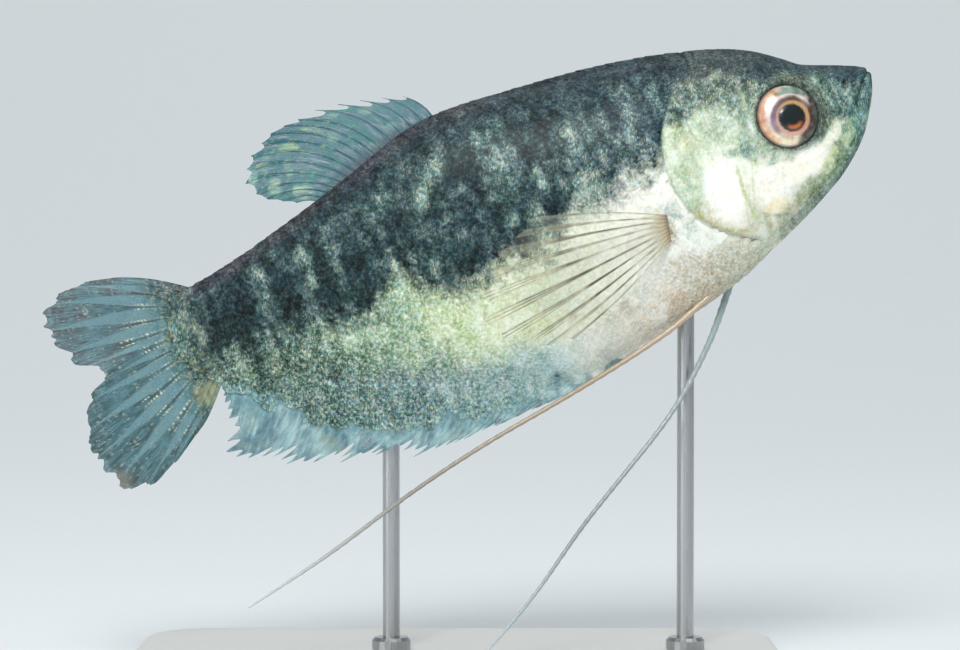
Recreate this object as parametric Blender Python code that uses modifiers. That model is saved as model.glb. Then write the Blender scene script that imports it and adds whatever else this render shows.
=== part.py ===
"""A life-size three spot gourami, nose up and fins spread, on a plain display stand.

Blender 4.5, metres, +Z up, nose towards +X. The fish is drawn in its own frame in millimetres:
s runs back from the snout tip, h runs up from it, and y is across the body, with its right side at -y.
One empty carries that frame, tilted nose up, over the middle of the stand.
"""

import math
import random

import bmesh
import bpy
from mathutils import Matrix, Vector

MM = 0.001
GAP = 0.3  # left between pieces that meet, in mm
WELD, CLOSE_WELD = 1e-6, 1e-7  # distances within which points are merged, in metres
FAR = 30.0  # beyond the body on every side, in mm
SMOOTH_ANGLE = 40.0  # edges that turn by less are shaded smooth, in degrees

# The fish as a whole, in mm and degrees.
BODY_LENGTH = 91.5  # snout tip to the end of the tail stalk
PITCH = 20.84  # how far the nose is raised
SNOUT_X = 53.02  # the snout tip from the middle of the whole model
FEELER_DROP = 72.4  # the lowest feeler tip below the snout tip
FEELER_CLEARANCE = 1.3  # that tip above the base

# The stand, in mm.
BASE_LENGTH, BASE_WIDTH, BASE_HEIGHT = 84.0, 54.0, 5.0
BASE_CORNER, BASE_EDGE = 9.0, 0.8
CORNER_STEPS, EDGE_STEPS = 8, 2
ROD_RADIUS, ROD_SIDES = 1.1, 20
COLLAR_RADIUS, COLLAR_HEIGHT, COLLAR_EDGE = 2.5, 1.6, 0.4
RODS = {"stand_rod_front": (29.5, 3.0), "stand_rod_rear": (-8.5, 3.0)}  # x and y of each

SNOUT_Z = BASE_HEIGHT + FEELER_CLEARANCE + FEELER_DROP

# The body's outline and girth by s. The points lie closer where the head is blunt.
BACK = [
    (0.0, 0.7), (1.1, 2.2), (3.1, 3.1), (7.8, 5.0), (9.9, 6.6), (13.2, 8.9), (16.7, 10.5), (21.6, 12.0),
    (31.8, 14.0), (45.0, 15.3), (53.0, 15.7), (58.8, 14.9), (66.7, 12.3), (77.4, 9.2), (85.0, 7.3),
    (91.5, 6.3),
]
BELLY = [
    (0.0, 0.7), (0.3, -0.8), (0.9, -2.2), (1.9, -3.9), (3.2, -5.9), (5.8, -8.5), (8.2, -10.3),
    (12.0, -12.4), (19.5, -15.8), (25.5, -18.2), (35.3, -20.5), (45.4, -21.9), (52.1, -21.3),
    (58.4, -20.0), (70.6, -16.0), (82.3, -10.8), (91.5, -5.9),
]
HALF_WIDTH = [
    (0.0, 0.1), (0.3, 1.05), (1.0, 1.7), (3.7, 2.9), (7.1, 3.9), (11.8, 5.15), (18.3, 6.5), (25.5, 7.3),
    (35.3, 7.6), (45.4, 7.3), (58.4, 6.1), (70.6, 4.6), (82.3, 2.9), (91.5, 1.5),
]
WIDEST_AT = [
    (0.0, 0.7), (1.9, -0.4), (7.0, -1.3), (12.0, -1.6), (25.0, -2.8), (45.0, -3.5), (60.0, -2.2),
    (91.5, 0.2),
]
BACK_FULLNESS = [(0.0, 2.2), (12.0, 2.0), (50.0, 1.9), (91.5, 2.0)]  # 2 is an ellipse, less is sharper
BELLY_FULLNESS = [(0.0, 2.2), (20.0, 2.1), (42.0, 2.0), (55.0, 1.7), (91.5, 2.0)]
RING_SIDES, RINGS = 32, 44
RING_CROWDING = 1.5  # rings lie closer towards the snout
LEAST_REACH, LEAST_HALF_WIDTH = 0.15, 0.1  # of any cross-section
SNOUT_EASE, STALK_EASE = 6.0, 3.0  # lengths over which a grown body is also pushed out past its ends

# Where the body is parted, as lines in the side view from the back or the snout down.
GILL_LINE = [
    (18.0, 17.0), (21.5, 11.4), (25.2, 6.9), (28.0, 3.0), (29.2, -2.0), (28.1, -7.4), (26.0, -10.2),
    (22.8, -12.7), (19.8, -14.4), (18.4, -18.5),
]
STALK_LINE = [(79.0, 13.0), (80.2, 8.0), (81.0, 0.0), (80.2, -8.0), (79.0, -16.0)]
MOUTH_LINE = [(-1.6, 1.4), (0.0, 0.75), (1.5, -0.8), (3.8, -2.9), (5.9, -5.6), (7.5, -9.0), (8.4, -13.5)]
LINE_POINTS = 22  # along each smoothed parting line
GILL_COVER = [(19.0, 2.6), (22.5, 4.4), (33.0, 4.0), (33.0, -16.0), (20.4, -12.9), (19.6, -8.3), (18.6, -2.0)]
GILL_COVER_DEPTH, GILL_COVER_RAISED = 1.3, 0.3

LIP_RADIUS, LIP_CORNER_RADIUS, LIP_OFFSET, LIP_SUNK = 0.55, 0.25, 0.6, 0.3
LIP_POINTS = 25
EYE_AT = (11.8, -0.7)
EYE_RADIUS, EYE_SUNK, EYE_DOME, EYE_DEPTH = 4.0, 0.35, 1.3, 2.3
EYE_PROFILE_STEPS, EYE_SIDES = 8, 22
NOSTRILS = [((3.6, 0.9), 0.32), ((6.3, 1.9), 0.38)]  # place and radius
NOSTRIL_DEPTH, NOSTRIL_TAPER, NOSTRIL_SIDES = 0.6, 0.7, 8

# Fins: the margin in the side view from the first ray to the last, how many rays and leading spines there are,
# how a ray bows, how deep the notches are between spines and between soft rays, and how many rings are fleshy.
FIN_SUNK = 0.9  # how deep a root goes before it is cut clear of the body
FIN_ROOT, FIN_RAY, FIN_MEMBRANE, FIN_TIP = 1.0, 0.62, 0.5, 0.36  # thicknesses
MARGIN_POINTS = 90
SPINE_REACH, RAY_REACH, EVEN_REACH = (0.96, 1.0), (0.93, 1.03), (0.97, 1.01)  # shares of the way to it
NOTCH_SPREAD = (0.6, 1.3)  # how unlike the notches are
MEDIAN_WAVE, MEDIAN_TURN = 0.35, 9.0  # height of the dorsal and anal fins' sideways wave, and its radians in all
CAUDAL_SWAY, CAUDAL_BOW = 0.9, 0.05
DORSAL = {
    "roots": (52.9, 70.4), "rays": 15, "spines": 6, "steps": 5, "bow": 0.12, "notch": (0.22, 0.07), "fleshy": 0,
    "margin": [
        (53.7, 16.9), (56.7, 19.4), (62.8, 21.0), (69.0, 21.6), (75.0, 20.9), (78.6, 18.2), (80.0, 15.4),
        (78.0, 12.9), (73.2, 10.9),
    ],
}
ANAL = {
    "roots": (39.0, 90.2), "rays": 30, "spines": 8, "steps": 4, "bow": -0.14, "notch": (0.12, 0.16), "fleshy": 1,
    "margin": [
        (40.4, -22.0), (49.0, -23.4), (58.0, -24.1), (66.0, -24.3), (71.5, -24.3), (77.0, -22.1),
        (84.0, -20.4), (89.5, -17.3), (93.2, -14.4), (93.3, -11.0), (92.0, -8.4),
    ],
}
CAUDAL = {
    "roots": (5.9, -5.6), "rays": 16, "spines": 0, "steps": 7, "notch": (0.06, 0.06), "fleshy": 1,
    "margin": [
        (100.0, 10.9), (104.5, 11.8), (108.6, 11.1), (110.4, 8.8), (110.3, 5.6), (108.6, 2.2), (105.0, -0.1),
        (108.7, -2.6), (110.2, -6.2), (110.1, -10.2), (109.0, -13.6), (106.2, -15.8), (102.0, -14.8),
        (97.6, -12.5),
    ],
}
PECTORAL = {
    "roots": ((31.0, -6.7), (31.6, -9.9)), "rays": 10, "spines": 0, "steps": 7, "notch": (0.05, 0.05), "fleshy": 2,
    "margin": [
        (47.6, -0.8), (52.2, -3.2), (55.6, -6.6), (57.2, -10.4), (55.8, -13.8), (52.4, -16.2), (48.2, -17.0),
    ],
}
PECTORAL_SWING = {"pectoral_fin_right": 17.0, "pectoral_fin_left": 21.0}  # degrees out from the flank
PECTORAL_STAND_OFF, PECTORAL_TURN = 1.2, 1.4  # how far a ray stands off, and over what length
PECTORAL_CUP, PECTORAL_BOW = 0.0022, 0.03  # the fan's hollow and its outer rays' bow
PECTORAL_INNER = 0.5  # the first ring lies this far ahead of the root, inside the flank
PECTORAL_CROWDING = 1.25  # rings lie closer towards the root

# Feelers, the long first rays of the pelvic fins: (s, h, y, radius) along each.
FEELERS = {
    "feeler_right": [
        (24.9, -16.6, -1.6, 0.5), (25.8, -17.7, -2.4, 0.5), (28.3, -18.6, -3.0, 0.45),
        (31.0, -19.5, -3.2, 0.4), (35.0, -20.7, -3.4, 0.36), (40.0, -21.8, -3.9, 0.33),
        (45.7, -22.9, -4.4, 0.31), (51.7, -23.9, -4.9, 0.3), (60.4, -25.3, -5.6, 0.28),
        (68.4, -26.4, -6.1, 0.27), (75.3, -28.5, -6.5, 0.26), (87.6, -32.1, -7.1, 0.25),
        (93.7, -33.6, -7.3, 0.2), (97.8, -34.2, -7.4, 0.12),
    ],
    "feeler_left": [
        (24.9, -16.6, 1.6, 0.5), (25.8, -18.3, 1.7, 0.48), (27.2, -19.5, 1.6, 0.46),
        (29.4, -22.2, 1.3, 0.42), (31.1, -24.5, 1.0, 0.37), (33.7, -26.9, 0.6, 0.34),
        (39.3, -31.0, -0.6, 0.31), (44.8, -34.6, -1.9, 0.29), (51.4, -37.5, -3.4, 0.28),
        (56.0, -40.6, -4.2, 0.26), (62.6, -45.3, -5.3, 0.25), (68.0, -48.6, -6.1, 0.2),
        (71.5, -50.1, -6.5, 0.12),
    ],
}
FEELER_POINTS = 36
FEELER_PART = 0.36  # where each feeler is divided, as a share of its points

# Colour, roughness and metallic value of each finish.
FINISHES = {
    "skin_head": ((0.46, 0.52, 0.46), 0.35, 0.1), "skin_flank": ((0.24, 0.29, 0.28), 0.4, 0.1),
    "skin_gill_cover": ((0.72, 0.76, 0.66), 0.3, 0.2), "fin_membrane": ((0.33, 0.43, 0.42), 0.45, 0.0),
    "eye": ((0.62, 0.36, 0.24), 0.08, 0.0), "feeler": ((0.5, 0.55, 0.55), 0.5, 0.0),
    "stand_lacquer": ((0.78, 0.78, 0.76), 0.35, 0.0), "stand_steel": ((0.62, 0.62, 0.63), 0.3, 1.0),
}


def clear_scene():
    """Removes every object that the scene starts with."""
    for obj in list(bpy.data.objects):
        bpy.data.objects.remove(obj)


def material(name):
    """The material of that name, made from its finish when it is first asked for."""
    found = bpy.data.materials.get(name)
    if found:
        return found
    colour, roughness, metallic = FINISHES[name]
    made = bpy.data.materials.new(name)
    made.use_nodes = True
    shader = made.node_tree.nodes["Principled BSDF"]
    shader.inputs["Base Color"].default_value = (*colour, 1.0)
    shader.inputs["Roughness"].default_value = roughness
    shader.inputs["Metallic"].default_value = metallic
    return made


def collection(name):
    """A new collection in the scene."""
    made = bpy.data.collections.new(name)
    bpy.context.scene.collection.children.link(made)
    return made


def fish_point(s, h, y=0.0):
    """A point of the fish's frame as coordinates under its empty, in metres."""
    return Vector((-s * MM, y * MM, h * MM))


def through(points, x):
    """The value at x of a smooth curve through points, eased so that a blunt snout rounds off."""
    place = [math.copysign(math.sqrt(abs(p[0])), p[0]) for p in points]
    value = [p[1] for p in points]
    at = min(max(math.sqrt(max(x, 0.0)), place[0]), place[-1])
    last = len(points) - 1
    i = max(k for k in range(last) if place[k] <= at or k == 0)

    def slope(k):
        a, b = max(k - 1, 0), min(k + 1, last)
        return (value[b] - value[a]) / (place[b] - place[a])

    step = place[i + 1] - place[i]
    t = (at - place[i]) / step
    return (
        value[i] * (2 * t**3 - 3 * t**2 + 1)
        + value[i + 1] * (3 * t**2 - 2 * t**3)
        + slope(i) * step * (t**3 - 2 * t**2 + t)
        + slope(i + 1) * step * (t**3 - t**2)
    )


def smooth_line(points, count):
    """count points spaced evenly along a smooth curve through points of any dimension."""
    knots = [Vector(p) for p in points]
    ends = [knots[0] * 2 - knots[1], *knots, knots[-1] * 2 - knots[-2]]
    dense, steps = [], 12
    for a, b, c, d in zip(ends, ends[1:], ends[2:], ends[3:]):
        for t in (k / steps for k in range(steps)):
            bend = (2 * a - 5 * b + 4 * c - d) * t**2 + (3 * b - a - 3 * c + d) * t**3
            dense.append((2 * b + (c - a) * t + bend) * 0.5)
    dense.append(knots[-1])
    run = [0.0]
    for a, b in zip(dense, dense[1:]):
        run.append(run[-1] + (b - a).length)
    found, k = [], 0
    for i in range(count):
        want = run[-1] * i / (count - 1)
        while k < len(run) - 2 and run[k + 1] < want:
            k += 1
        found.append(dense[k].lerp(dense[k + 1], (want - run[k]) / (run[k + 1] - run[k])))
    return found


def shifted(line, distance):
    """A side-view line that runs down, moved sideways: towards the tail where distance is positive."""
    points = [Vector(p) for p in line]
    moved = []
    for i, p in enumerate(points):
        along = (points[min(i + 1, len(points) - 1)] - points[max(i - 1, 0)]).normalized()
        moved.append(p + Vector((-along.y, along.x)) * distance)
    return moved


def section(s, grow=0.0):
    """The body's cross-section at s: its top, its bottom, half its width and its widest level."""
    level = through(WIDEST_AT, s)
    top = max(through(BACK, s) + grow, level + LEAST_REACH)
    bottom = min(through(BELLY, s) - grow, level - LEAST_REACH)
    return top, bottom, max(through(HALF_WIDTH, s) + grow, LEAST_HALF_WIDTH), level


def surface_y(s, h, grow=0.0):
    """How far the body's flank lies from the middle plane at a point of the side view."""
    top, bottom, half, level = section(s, grow)
    if h >= level:
        share, fullness = (h - level) / (top - level), through(BACK_FULLNESS, s)
    else:
        share, fullness = (level - h) / (level - bottom), through(BELLY_FULLNESS, s)
    return half * max(1.0 - min(share, 1.0) ** fullness, 0.0) ** (1.0 / fullness)


def surface_normal(s, h):
    """The way out of the left flank at a point of the side view, under the fish's empty."""
    reach = 0.8
    along_s = (surface_y(s + reach, h) - surface_y(s - reach, h)) / (2 * reach)
    along_h = (surface_y(s, h + reach) - surface_y(s, h - reach)) / (2 * reach)
    return Vector((along_s, 1.0, -along_h)).normalized()


def facing_out(s, h, side):
    """The turn that points an object's z axis out of one flank at a point of the side view."""
    out = surface_normal(s, h)
    out.y *= side
    return out.to_track_quat("Z", "Y").to_euler()


def new_object(name, mesh, fish, group):
    """An object in the fish's frame, or in the world where fish is None."""
    made = bpy.data.objects.new(name, mesh)
    made.parent = fish
    group.objects.link(made)
    return made


def body(name, grow, fish, group):
    """The whole body as one loft of unlike cross-sections, grown outwards by grow."""
    bm = bmesh.new()
    rings = []
    for k in range(1, RINGS + 1):
        s = BODY_LENGTH * (k / RINGS) ** RING_CROWDING
        top, bottom, half, level = section(s, grow)
        ahead, behind = max(1.0 - s / SNOUT_EASE, 0.0), max(s - BODY_LENGTH + STALK_EASE, 0.0) / STALK_EASE
        at = s + grow * (behind - ahead)
        ring = []
        for side in range(RING_SIDES):
            angle = 2 * math.pi * side / RING_SIDES
            across, up = math.cos(angle), math.sin(angle)
            fullness = through(BACK_FULLNESS if up >= 0 else BELLY_FULLNESS, s)
            y = half * math.copysign(abs(across) ** (2 / fullness), across)
            reach = (top - level) if up >= 0 else (level - bottom)
            h = level + reach * math.copysign(abs(up) ** (2 / fullness), up)
            ring.append(bm.verts.new(fish_point(at, h, y)))
        rings.append(ring)
    tip = bm.verts.new(fish_point(-grow, section(0.0)[3]))
    for i in range(RING_SIDES):
        j = (i + 1) % RING_SIDES
        bm.faces.new((tip, rings[0][j], rings[0][i]))
        for a, b in zip(rings, rings[1:]):
            bm.faces.new((a[i], a[j], b[j], b[i]))
    bm.faces.new(rings[-1])
    return finished(bm, name, fish, group)


def finished(bm, name, fish, group):
    """An object from a closed bmesh, with its faces turned outwards."""
    bmesh.ops.remove_doubles(bm, verts=bm.verts, dist=CLOSE_WELD)
    bmesh.ops.recalc_face_normals(bm, faces=bm.faces)
    mesh = bpy.data.meshes.new(name)
    bm.to_mesh(mesh)
    bm.free()
    return new_object(name, mesh, fish, group)


def prism(name, outline, fish, group, y_range=(-FAR, FAR)):
    """A side-view outline drawn out across the body."""
    bm = bmesh.new()
    low, high = y_range
    face = bm.faces.new([bm.verts.new(fish_point(p[0], p[1], low)) for p in outline])
    drawn = bmesh.ops.extrude_face_region(bm, geom=[face])
    moved = [v for v in drawn["geom"] if isinstance(v, bmesh.types.BMVert)]
    bmesh.ops.translate(bm, verts=moved, vec=(0.0, (high - low) * MM, 0.0))
    return finished(bm, name, fish, group)


def tube(name, points, radii, fish, group, sides=8):
    """A closed mesh tube through points, from a bevelled curve with its caps welded."""
    curve = bpy.data.curves.new(name, "CURVE")
    curve.dimensions = "3D"
    curve.bevel_depth = MM
    curve.bevel_resolution = sides // 2 - 2
    curve.use_fill_caps = True
    spline = curve.splines.new("POLY")
    spline.points.add(len(points) - 1)
    for knot, place, radius in zip(spline.points, points, radii):
        knot.co = (*place, 1.0)
        knot.radius = radius
    drawn = new_object(name + "_curve", curve, fish, group)
    return as_mesh(drawn, name, fish, group)


def as_mesh(drawn, name, fish, group):
    """The evaluated mesh of an object in its place, which it replaces."""
    bpy.context.view_layer.update()
    graph = bpy.context.evaluated_depsgraph_get()
    mesh = bpy.data.meshes.new_from_object(drawn.evaluated_get(graph))
    bm = bmesh.new()
    bm.from_mesh(mesh)
    bmesh.ops.remove_doubles(bm, verts=bm.verts, dist=WELD)
    bmesh.ops.recalc_face_normals(bm, faces=bm.faces)
    bm.to_mesh(mesh)
    bm.free()
    made = new_object(name, mesh, fish, group)
    made.location, made.rotation_euler = drawn.location, drawn.rotation_euler
    bpy.data.objects.remove(drawn)
    return made


def turned(name, profile, sides, fish, group):
    """A solid turned about z from its profile, which runs from the top down its outer side, in mm."""
    mesh = bpy.data.meshes.new(name)
    edges = [(k, k + 1) for k in range(len(profile) - 1)]
    mesh.from_pydata([(radius * MM, 0.0, z * MM) for radius, z in profile], edges, [])
    made = new_object(name + "_profile", mesh, fish, group)
    screw = made.modifiers.new("turn", "SCREW")
    screw.steps = screw.render_steps = sides
    screw.use_merge_vertices = True
    screw.merge_threshold = WELD
    return made


def boolean(obj, other, operation):
    """Joins, cuts or crosses obj with another object."""
    modifier = obj.modifiers.new(operation.lower(), "BOOLEAN")
    modifier.operation = operation
    modifier.object = other


def joined_to(vert):
    """Every vertex reached along edges from one, with that one."""
    reached, edge = {vert}, [vert]
    while edge:
        vert = edge.pop()
        near = {e.other_vert(vert) for e in vert.link_edges} - reached
        reached |= near
        edge.extend(near)
    return reached


def keep_piece(obj, choose):
    """Applies the modifiers of obj and keeps one closed surface: the one that holds the chosen vertices."""
    bpy.context.view_layer.update()
    graph = bpy.context.evaluated_depsgraph_get()
    mesh = bpy.data.meshes.new_from_object(obj.evaluated_get(graph))
    obj.modifiers.clear()
    obj.data = mesh
    bm = bmesh.new()
    bm.from_mesh(mesh)
    bmesh.ops.dissolve_degenerate(bm, edges=bm.edges, dist=CLOSE_WELD)
    kept = choose(bm)
    bmesh.ops.delete(bm, geom=[v for v in bm.verts if v not in kept], context="VERTS")
    bm.to_mesh(mesh)
    bm.free()
    return obj


def largest_piece(obj):
    """Applies the modifiers of obj and keeps the closed surface with the most points."""

    def largest(bm):
        seen, best = set(), set()
        for vert in bm.verts:
            if vert not in seen:
                piece = joined_to(vert)
                seen |= piece
                best = max(best, piece, key=len)
        return best

    return keep_piece(obj, largest)


def lowest_piece(obj):
    """Applies the modifiers of obj and keeps the closed surface that reaches lowest."""
    return keep_piece(obj, lambda bm: joined_to(min(bm.verts, key=lambda v: v.co.z)))


def copy_of(obj, name, fish, group):
    """A second object with a mesh of its own."""
    return new_object(name, obj.data.copy(), fish, group)


def finish_node(obj, slot, group, cutters):
    """Moves a finished node out of the cutters' collection, with its material and shading."""
    obj.data.materials.clear()
    obj.data.materials.append(material(slot))
    obj.data.shade_smooth()
    obj.data.set_sharp_from_angle(angle=math.radians(SMOOTH_ANGLE))
    if obj.name in cutters.objects:
        cutters.objects.unlink(obj)
        group.objects.link(obj)
    return obj


def eye_profile_solid(name, grow, side, fish, group):
    """An eye, or its socket where grow is the gap: a turned profile that faces out of the flank."""
    curve = []
    for k in range(EYE_PROFILE_STEPS + 1):
        angle = math.pi / 2 - math.pi * k / EYE_PROFILE_STEPS
        reach = (EYE_DOME if angle > 0 else EYE_DEPTH) + grow
        across = 0.0 if k in (0, EYE_PROFILE_STEPS) else (EYE_RADIUS + grow) * math.cos(angle)
        curve.append((across, reach * math.sin(angle) - EYE_SUNK))
    made = turned(name, curve, EYE_SIDES, fish, group)
    s, h = EYE_AT
    made.rotation_euler = facing_out(s, h, side)
    made.location = fish_point(s, h, side * surface_y(s, h))
    return as_mesh(made, name, fish, group)


def lip(name, offset, fish, group):
    """A lip round the front of the mouth, beside the line where the jaws meet."""
    beside = shifted(smooth_line(MOUTH_LINE[1:4], LIP_POINTS // 3), offset)
    front = [(max(p.x, 0.0) + LIP_SUNK, p.y) for p in beside]
    right = [(s, h, -surface_y(s, h, -LIP_SUNK / 2)) for s, h in reversed(front)]
    right[-1] = (*front[0], 0.0)
    left = [(s, h, -y) for s, h, y in reversed(right)]
    places = [fish_point(*p) for p in smooth_line(right + left[1:], LIP_POINTS)]
    fuller = [math.sin(math.pi * k / (LIP_POINTS - 1)) for k in range(LIP_POINTS)]
    radii = [LIP_CORNER_RADIUS + (LIP_RADIUS - LIP_CORNER_RADIUS) * full for full in fuller]
    return tube(name, places, radii, fish, group)


def shifted_outline(outline, distance):
    """A closed side-view outline grown by distance."""
    points = [Vector(p) for p in outline]
    centre = sum(points, Vector((0.0, 0.0))) / len(points)
    grown = []
    for i, p in enumerate(points):
        before, after = (p - points[i - 1]).normalized(), (points[(i + 1) % len(points)] - p).normalized()
        out = (before + after).normalized()
        out = Vector((out.y, -out.x))
        if out.dot(p - centre) < 0:
            out = -out
        grown.append(p + out * distance)
    return grown


def region_outlines():
    """Side-view outlines that part the body, each kept half a gap from the line it shares."""
    half = GAP / 2
    gill, mouth = smooth_line(GILL_LINE, LINE_POINTS), smooth_line(MOUTH_LINE, LINE_POINTS)
    gill_front, gill_rear = shifted(gill, -half), shifted(gill, half)
    stalk_front, stalk_rear = shifted(STALK_LINE, -half), shifted(STALK_LINE, half)
    above, below = shifted(mouth, half), shifted(mouth, -half)
    ahead, behind = -FAR, BODY_LENGTH + FAR

    def between(front, rear):
        low = [(rear[-1].x, -FAR), (front[-1].x, -FAR)]
        high = [(front[0].x, FAR), (rear[0].x, FAR)]
        return [*rear, *low, *reversed(front), *high]

    return {
        "head": between(above, gill_front),
        "lower_jaw": [*below, (below[-1].x, -FAR), (ahead, -FAR), (ahead, below[0].y)],
        "torso": between(gill_rear, stalk_front),
        "tail_stalk": between(stalk_rear, [Vector((behind, 0.0))]),
    }


def flesh_nodes(fish, group, cutters):
    """Head, jaw, gill covers, torso and tail stalk, all parted from one body by thin cuts."""
    whole = body("whole_body", 0.0, fish, cutters)
    raised = body("body_raised", GILL_COVER_RAISED, fish, cutters)
    under_cover = body("body_under_cover", -GILL_COVER_DEPTH, fish, cutters)
    pocket_floor = body("body_pocket_floor", -GILL_COVER_DEPTH - GAP, fish, cutters)
    lipped = copy_of(whole, "body_with_lips", fish, cutters)
    lips = collection("lips")
    lip("upper_lip", LIP_OFFSET, fish, lips)
    lip("lower_lip", -LIP_OFFSET, fish, lips)
    join = lipped.modifiers.new("union", "BOOLEAN")
    join.operation, join.operand_type, join.collection = "UNION", "COLLECTION", lips
    largest_piece(lipped)
    for piece in list(lips.objects):
        bpy.data.objects.remove(piece)
    bpy.data.collections.remove(lips)
    outlines = region_outlines()
    made = {}
    for name, slot in (("head", "skin_head"), ("lower_jaw", "skin_head"), ("torso", "skin_flank"),
                       ("tail_stalk", "skin_flank")):
        source = lipped if name in ("head", "lower_jaw") else whole
        node = copy_of(source, name, fish, cutters)
        boolean(node, prism(name + "_region", outlines[name], fish, cutters), "INTERSECT")
        made[name] = (node, slot)
    head = made["head"][0]
    for side, label in ((-1, "right"), (1, "left")):
        y_range = (0.0, FAR) if side > 0 else (-FAR, 0.0)
        name = "gill_cover_" + label
        cover = copy_of(raised, name, fish, cutters)
        boolean(cover, prism(name + "_outline", GILL_COVER, fish, cutters, y_range), "INTERSECT")
        boolean(cover, bpy.data.objects["head_region"], "INTERSECT")
        boolean(cover, under_cover, "DIFFERENCE")
        made[name] = (cover, "skin_gill_cover")
        pocket = prism(name + "_pocket", shifted_outline(GILL_COVER, GAP), fish, cutters, y_range)
        boolean(pocket, pocket_floor, "DIFFERENCE")
        largest_piece(pocket)
        boolean(head, pocket, "DIFFERENCE")
        boolean(head, eye_profile_solid("eye_socket_" + label, GAP, side, fish, cutters), "DIFFERENCE")
        for k, (place, radius) in enumerate(NOSTRILS):
            boolean(head, nostril(f"nostril_{label}_{k}", place, radius, side, fish, cutters), "DIFFERENCE")
    for node, slot in made.values():
        largest_piece(node)
        finish_node(node, slot, group, cutters)


def nostril(name, place, radius, side, fish, group):
    """A shallow round pit's cutter, facing out of the snout."""
    s, h = place
    bm = bmesh.new()
    bmesh.ops.create_cone(
        bm, cap_ends=True, segments=NOSTRIL_SIDES, radius1=radius * NOSTRIL_TAPER * MM, radius2=radius * MM,
        depth=2 * NOSTRIL_DEPTH * MM,
    )
    made = finished(bm, name, fish, group)
    made.rotation_euler = facing_out(s, h, side)
    made.location = fish_point(s, h, side * surface_y(s, h))
    return made


def eyes(fish, group, cutters):
    """Both eyeballs, each clear of its socket by the gap."""
    for side, label in ((-1, "right"), (1, "left")):
        finish_node(eye_profile_solid("eye_" + label, 0.0, side, fish, cutters), "eye", group, cutters)


def ray_curve(root, tip, bow, steps):
    """Points along one fin ray, bowed sideways by a share of its length."""
    middle = (root + tip) / 2
    across = Vector((-(tip - root).y, (tip - root).x)) * bow
    control = middle + across * 2
    shares = [k / steps for k in range(steps + 1)]
    return [root * (1 - t) ** 2 + control * 2 * t * (1 - t) + tip * t**2 for t in shares]


def at_share(points, share):
    """The point at a share of the way along a list of points."""
    place = share * (len(points) - 1)
    k = min(int(place), len(points) - 2)
    return points[k].lerp(points[k + 1], place - k)


def fin(name, rays, plan, fish, group, rng):
    """A fin from its rays: a sheet with a crest along each ray, thinner and shorter between the rays."""
    steps = len(rays[0]) - 1
    columns = []
    for k, ray in enumerate(rays):
        columns.append((ray, True))
        if k + 1 < len(rays):
            between = [(a + b) / 2 for a, b in zip(ray, rays[k + 1])]
            notch = plan["notch"][0] if k < plan["spines"] else plan["notch"][1]
            reach = 1.0 - notch * rng.uniform(*NOTCH_SPREAD)
            columns.append(([at_share(between, reach * i / steps) for i in range(steps + 1)], False))
    mesh = bpy.data.meshes.new(name)
    verts = [p for column, _ in columns for p in column]
    faces = []
    for c in range(len(columns) - 1):
        for i in range(steps):
            a, b = c * (steps + 1) + i, (c + 1) * (steps + 1) + i
            if columns[c][1]:
                faces += [(a, b, b + 1), (a, b + 1, a + 1)]
            else:
                faces += [(a, b, a + 1), (b, b + 1, a + 1)]
    mesh.from_pydata(verts, [], faces)
    sheet = new_object(name + "_sheet", mesh, fish, group)
    crest = sheet.vertex_groups.new(name="crest")
    least = FIN_TIP / FIN_ROOT
    for c, (_, is_ray) in enumerate(columns):
        for i in range(steps + 1):
            thickness = FIN_ROOT + (FIN_RAY - FIN_ROOT) * i / steps
            if not is_ray and i > plan["fleshy"]:
                thickness = FIN_MEMBRANE
            if i == steps:
                thickness = FIN_TIP
            crest.add([c * (steps + 1) + i], (thickness / FIN_ROOT - least) / (1 - least), "REPLACE")
    solid = sheet.modifiers.new("thickness", "SOLIDIFY")
    solid.thickness = FIN_ROOT * MM
    solid.offset = 0.0
    solid.vertex_group = "crest"
    solid.thickness_vertex_group = least
    return as_mesh(sheet, name, fish, group)


def median_fin(name, plan, profile, outward, fish, group, cutters, clear, rng):
    """The dorsal or anal fin, whose rays grow from the back or belly profile."""
    first, last = plan["roots"]
    margin = smooth_line(plan["margin"], MARGIN_POINTS)
    rays = []
    for k in range(plan["rays"]):
        share = k / (plan["rays"] - 1)
        s = first + (last - first) * share
        root = Vector((s, through(profile, s) - outward * FIN_SUNK))
        tip = at_share(margin, share)
        if 0 < k < plan["rays"] - 1:
            tip = root.lerp(tip, rng.uniform(*(SPINE_REACH if k < plan["spines"] else RAY_REACH)))
        wave = MEDIAN_WAVE * math.sin(share * MEDIAN_TURN)
        flat = ray_curve(root, tip, plan["bow"], plan["steps"])
        rays.append([fish_point(p.x, p.y, wave * (i / plan["steps"]) ** 2) for i, p in enumerate(flat)])
    made = fin(name, rays, plan, fish, cutters, rng)
    boolean(made, clear, "DIFFERENCE")
    finish_node(largest_piece(made), "fin_membrane", group, cutters)


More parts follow.
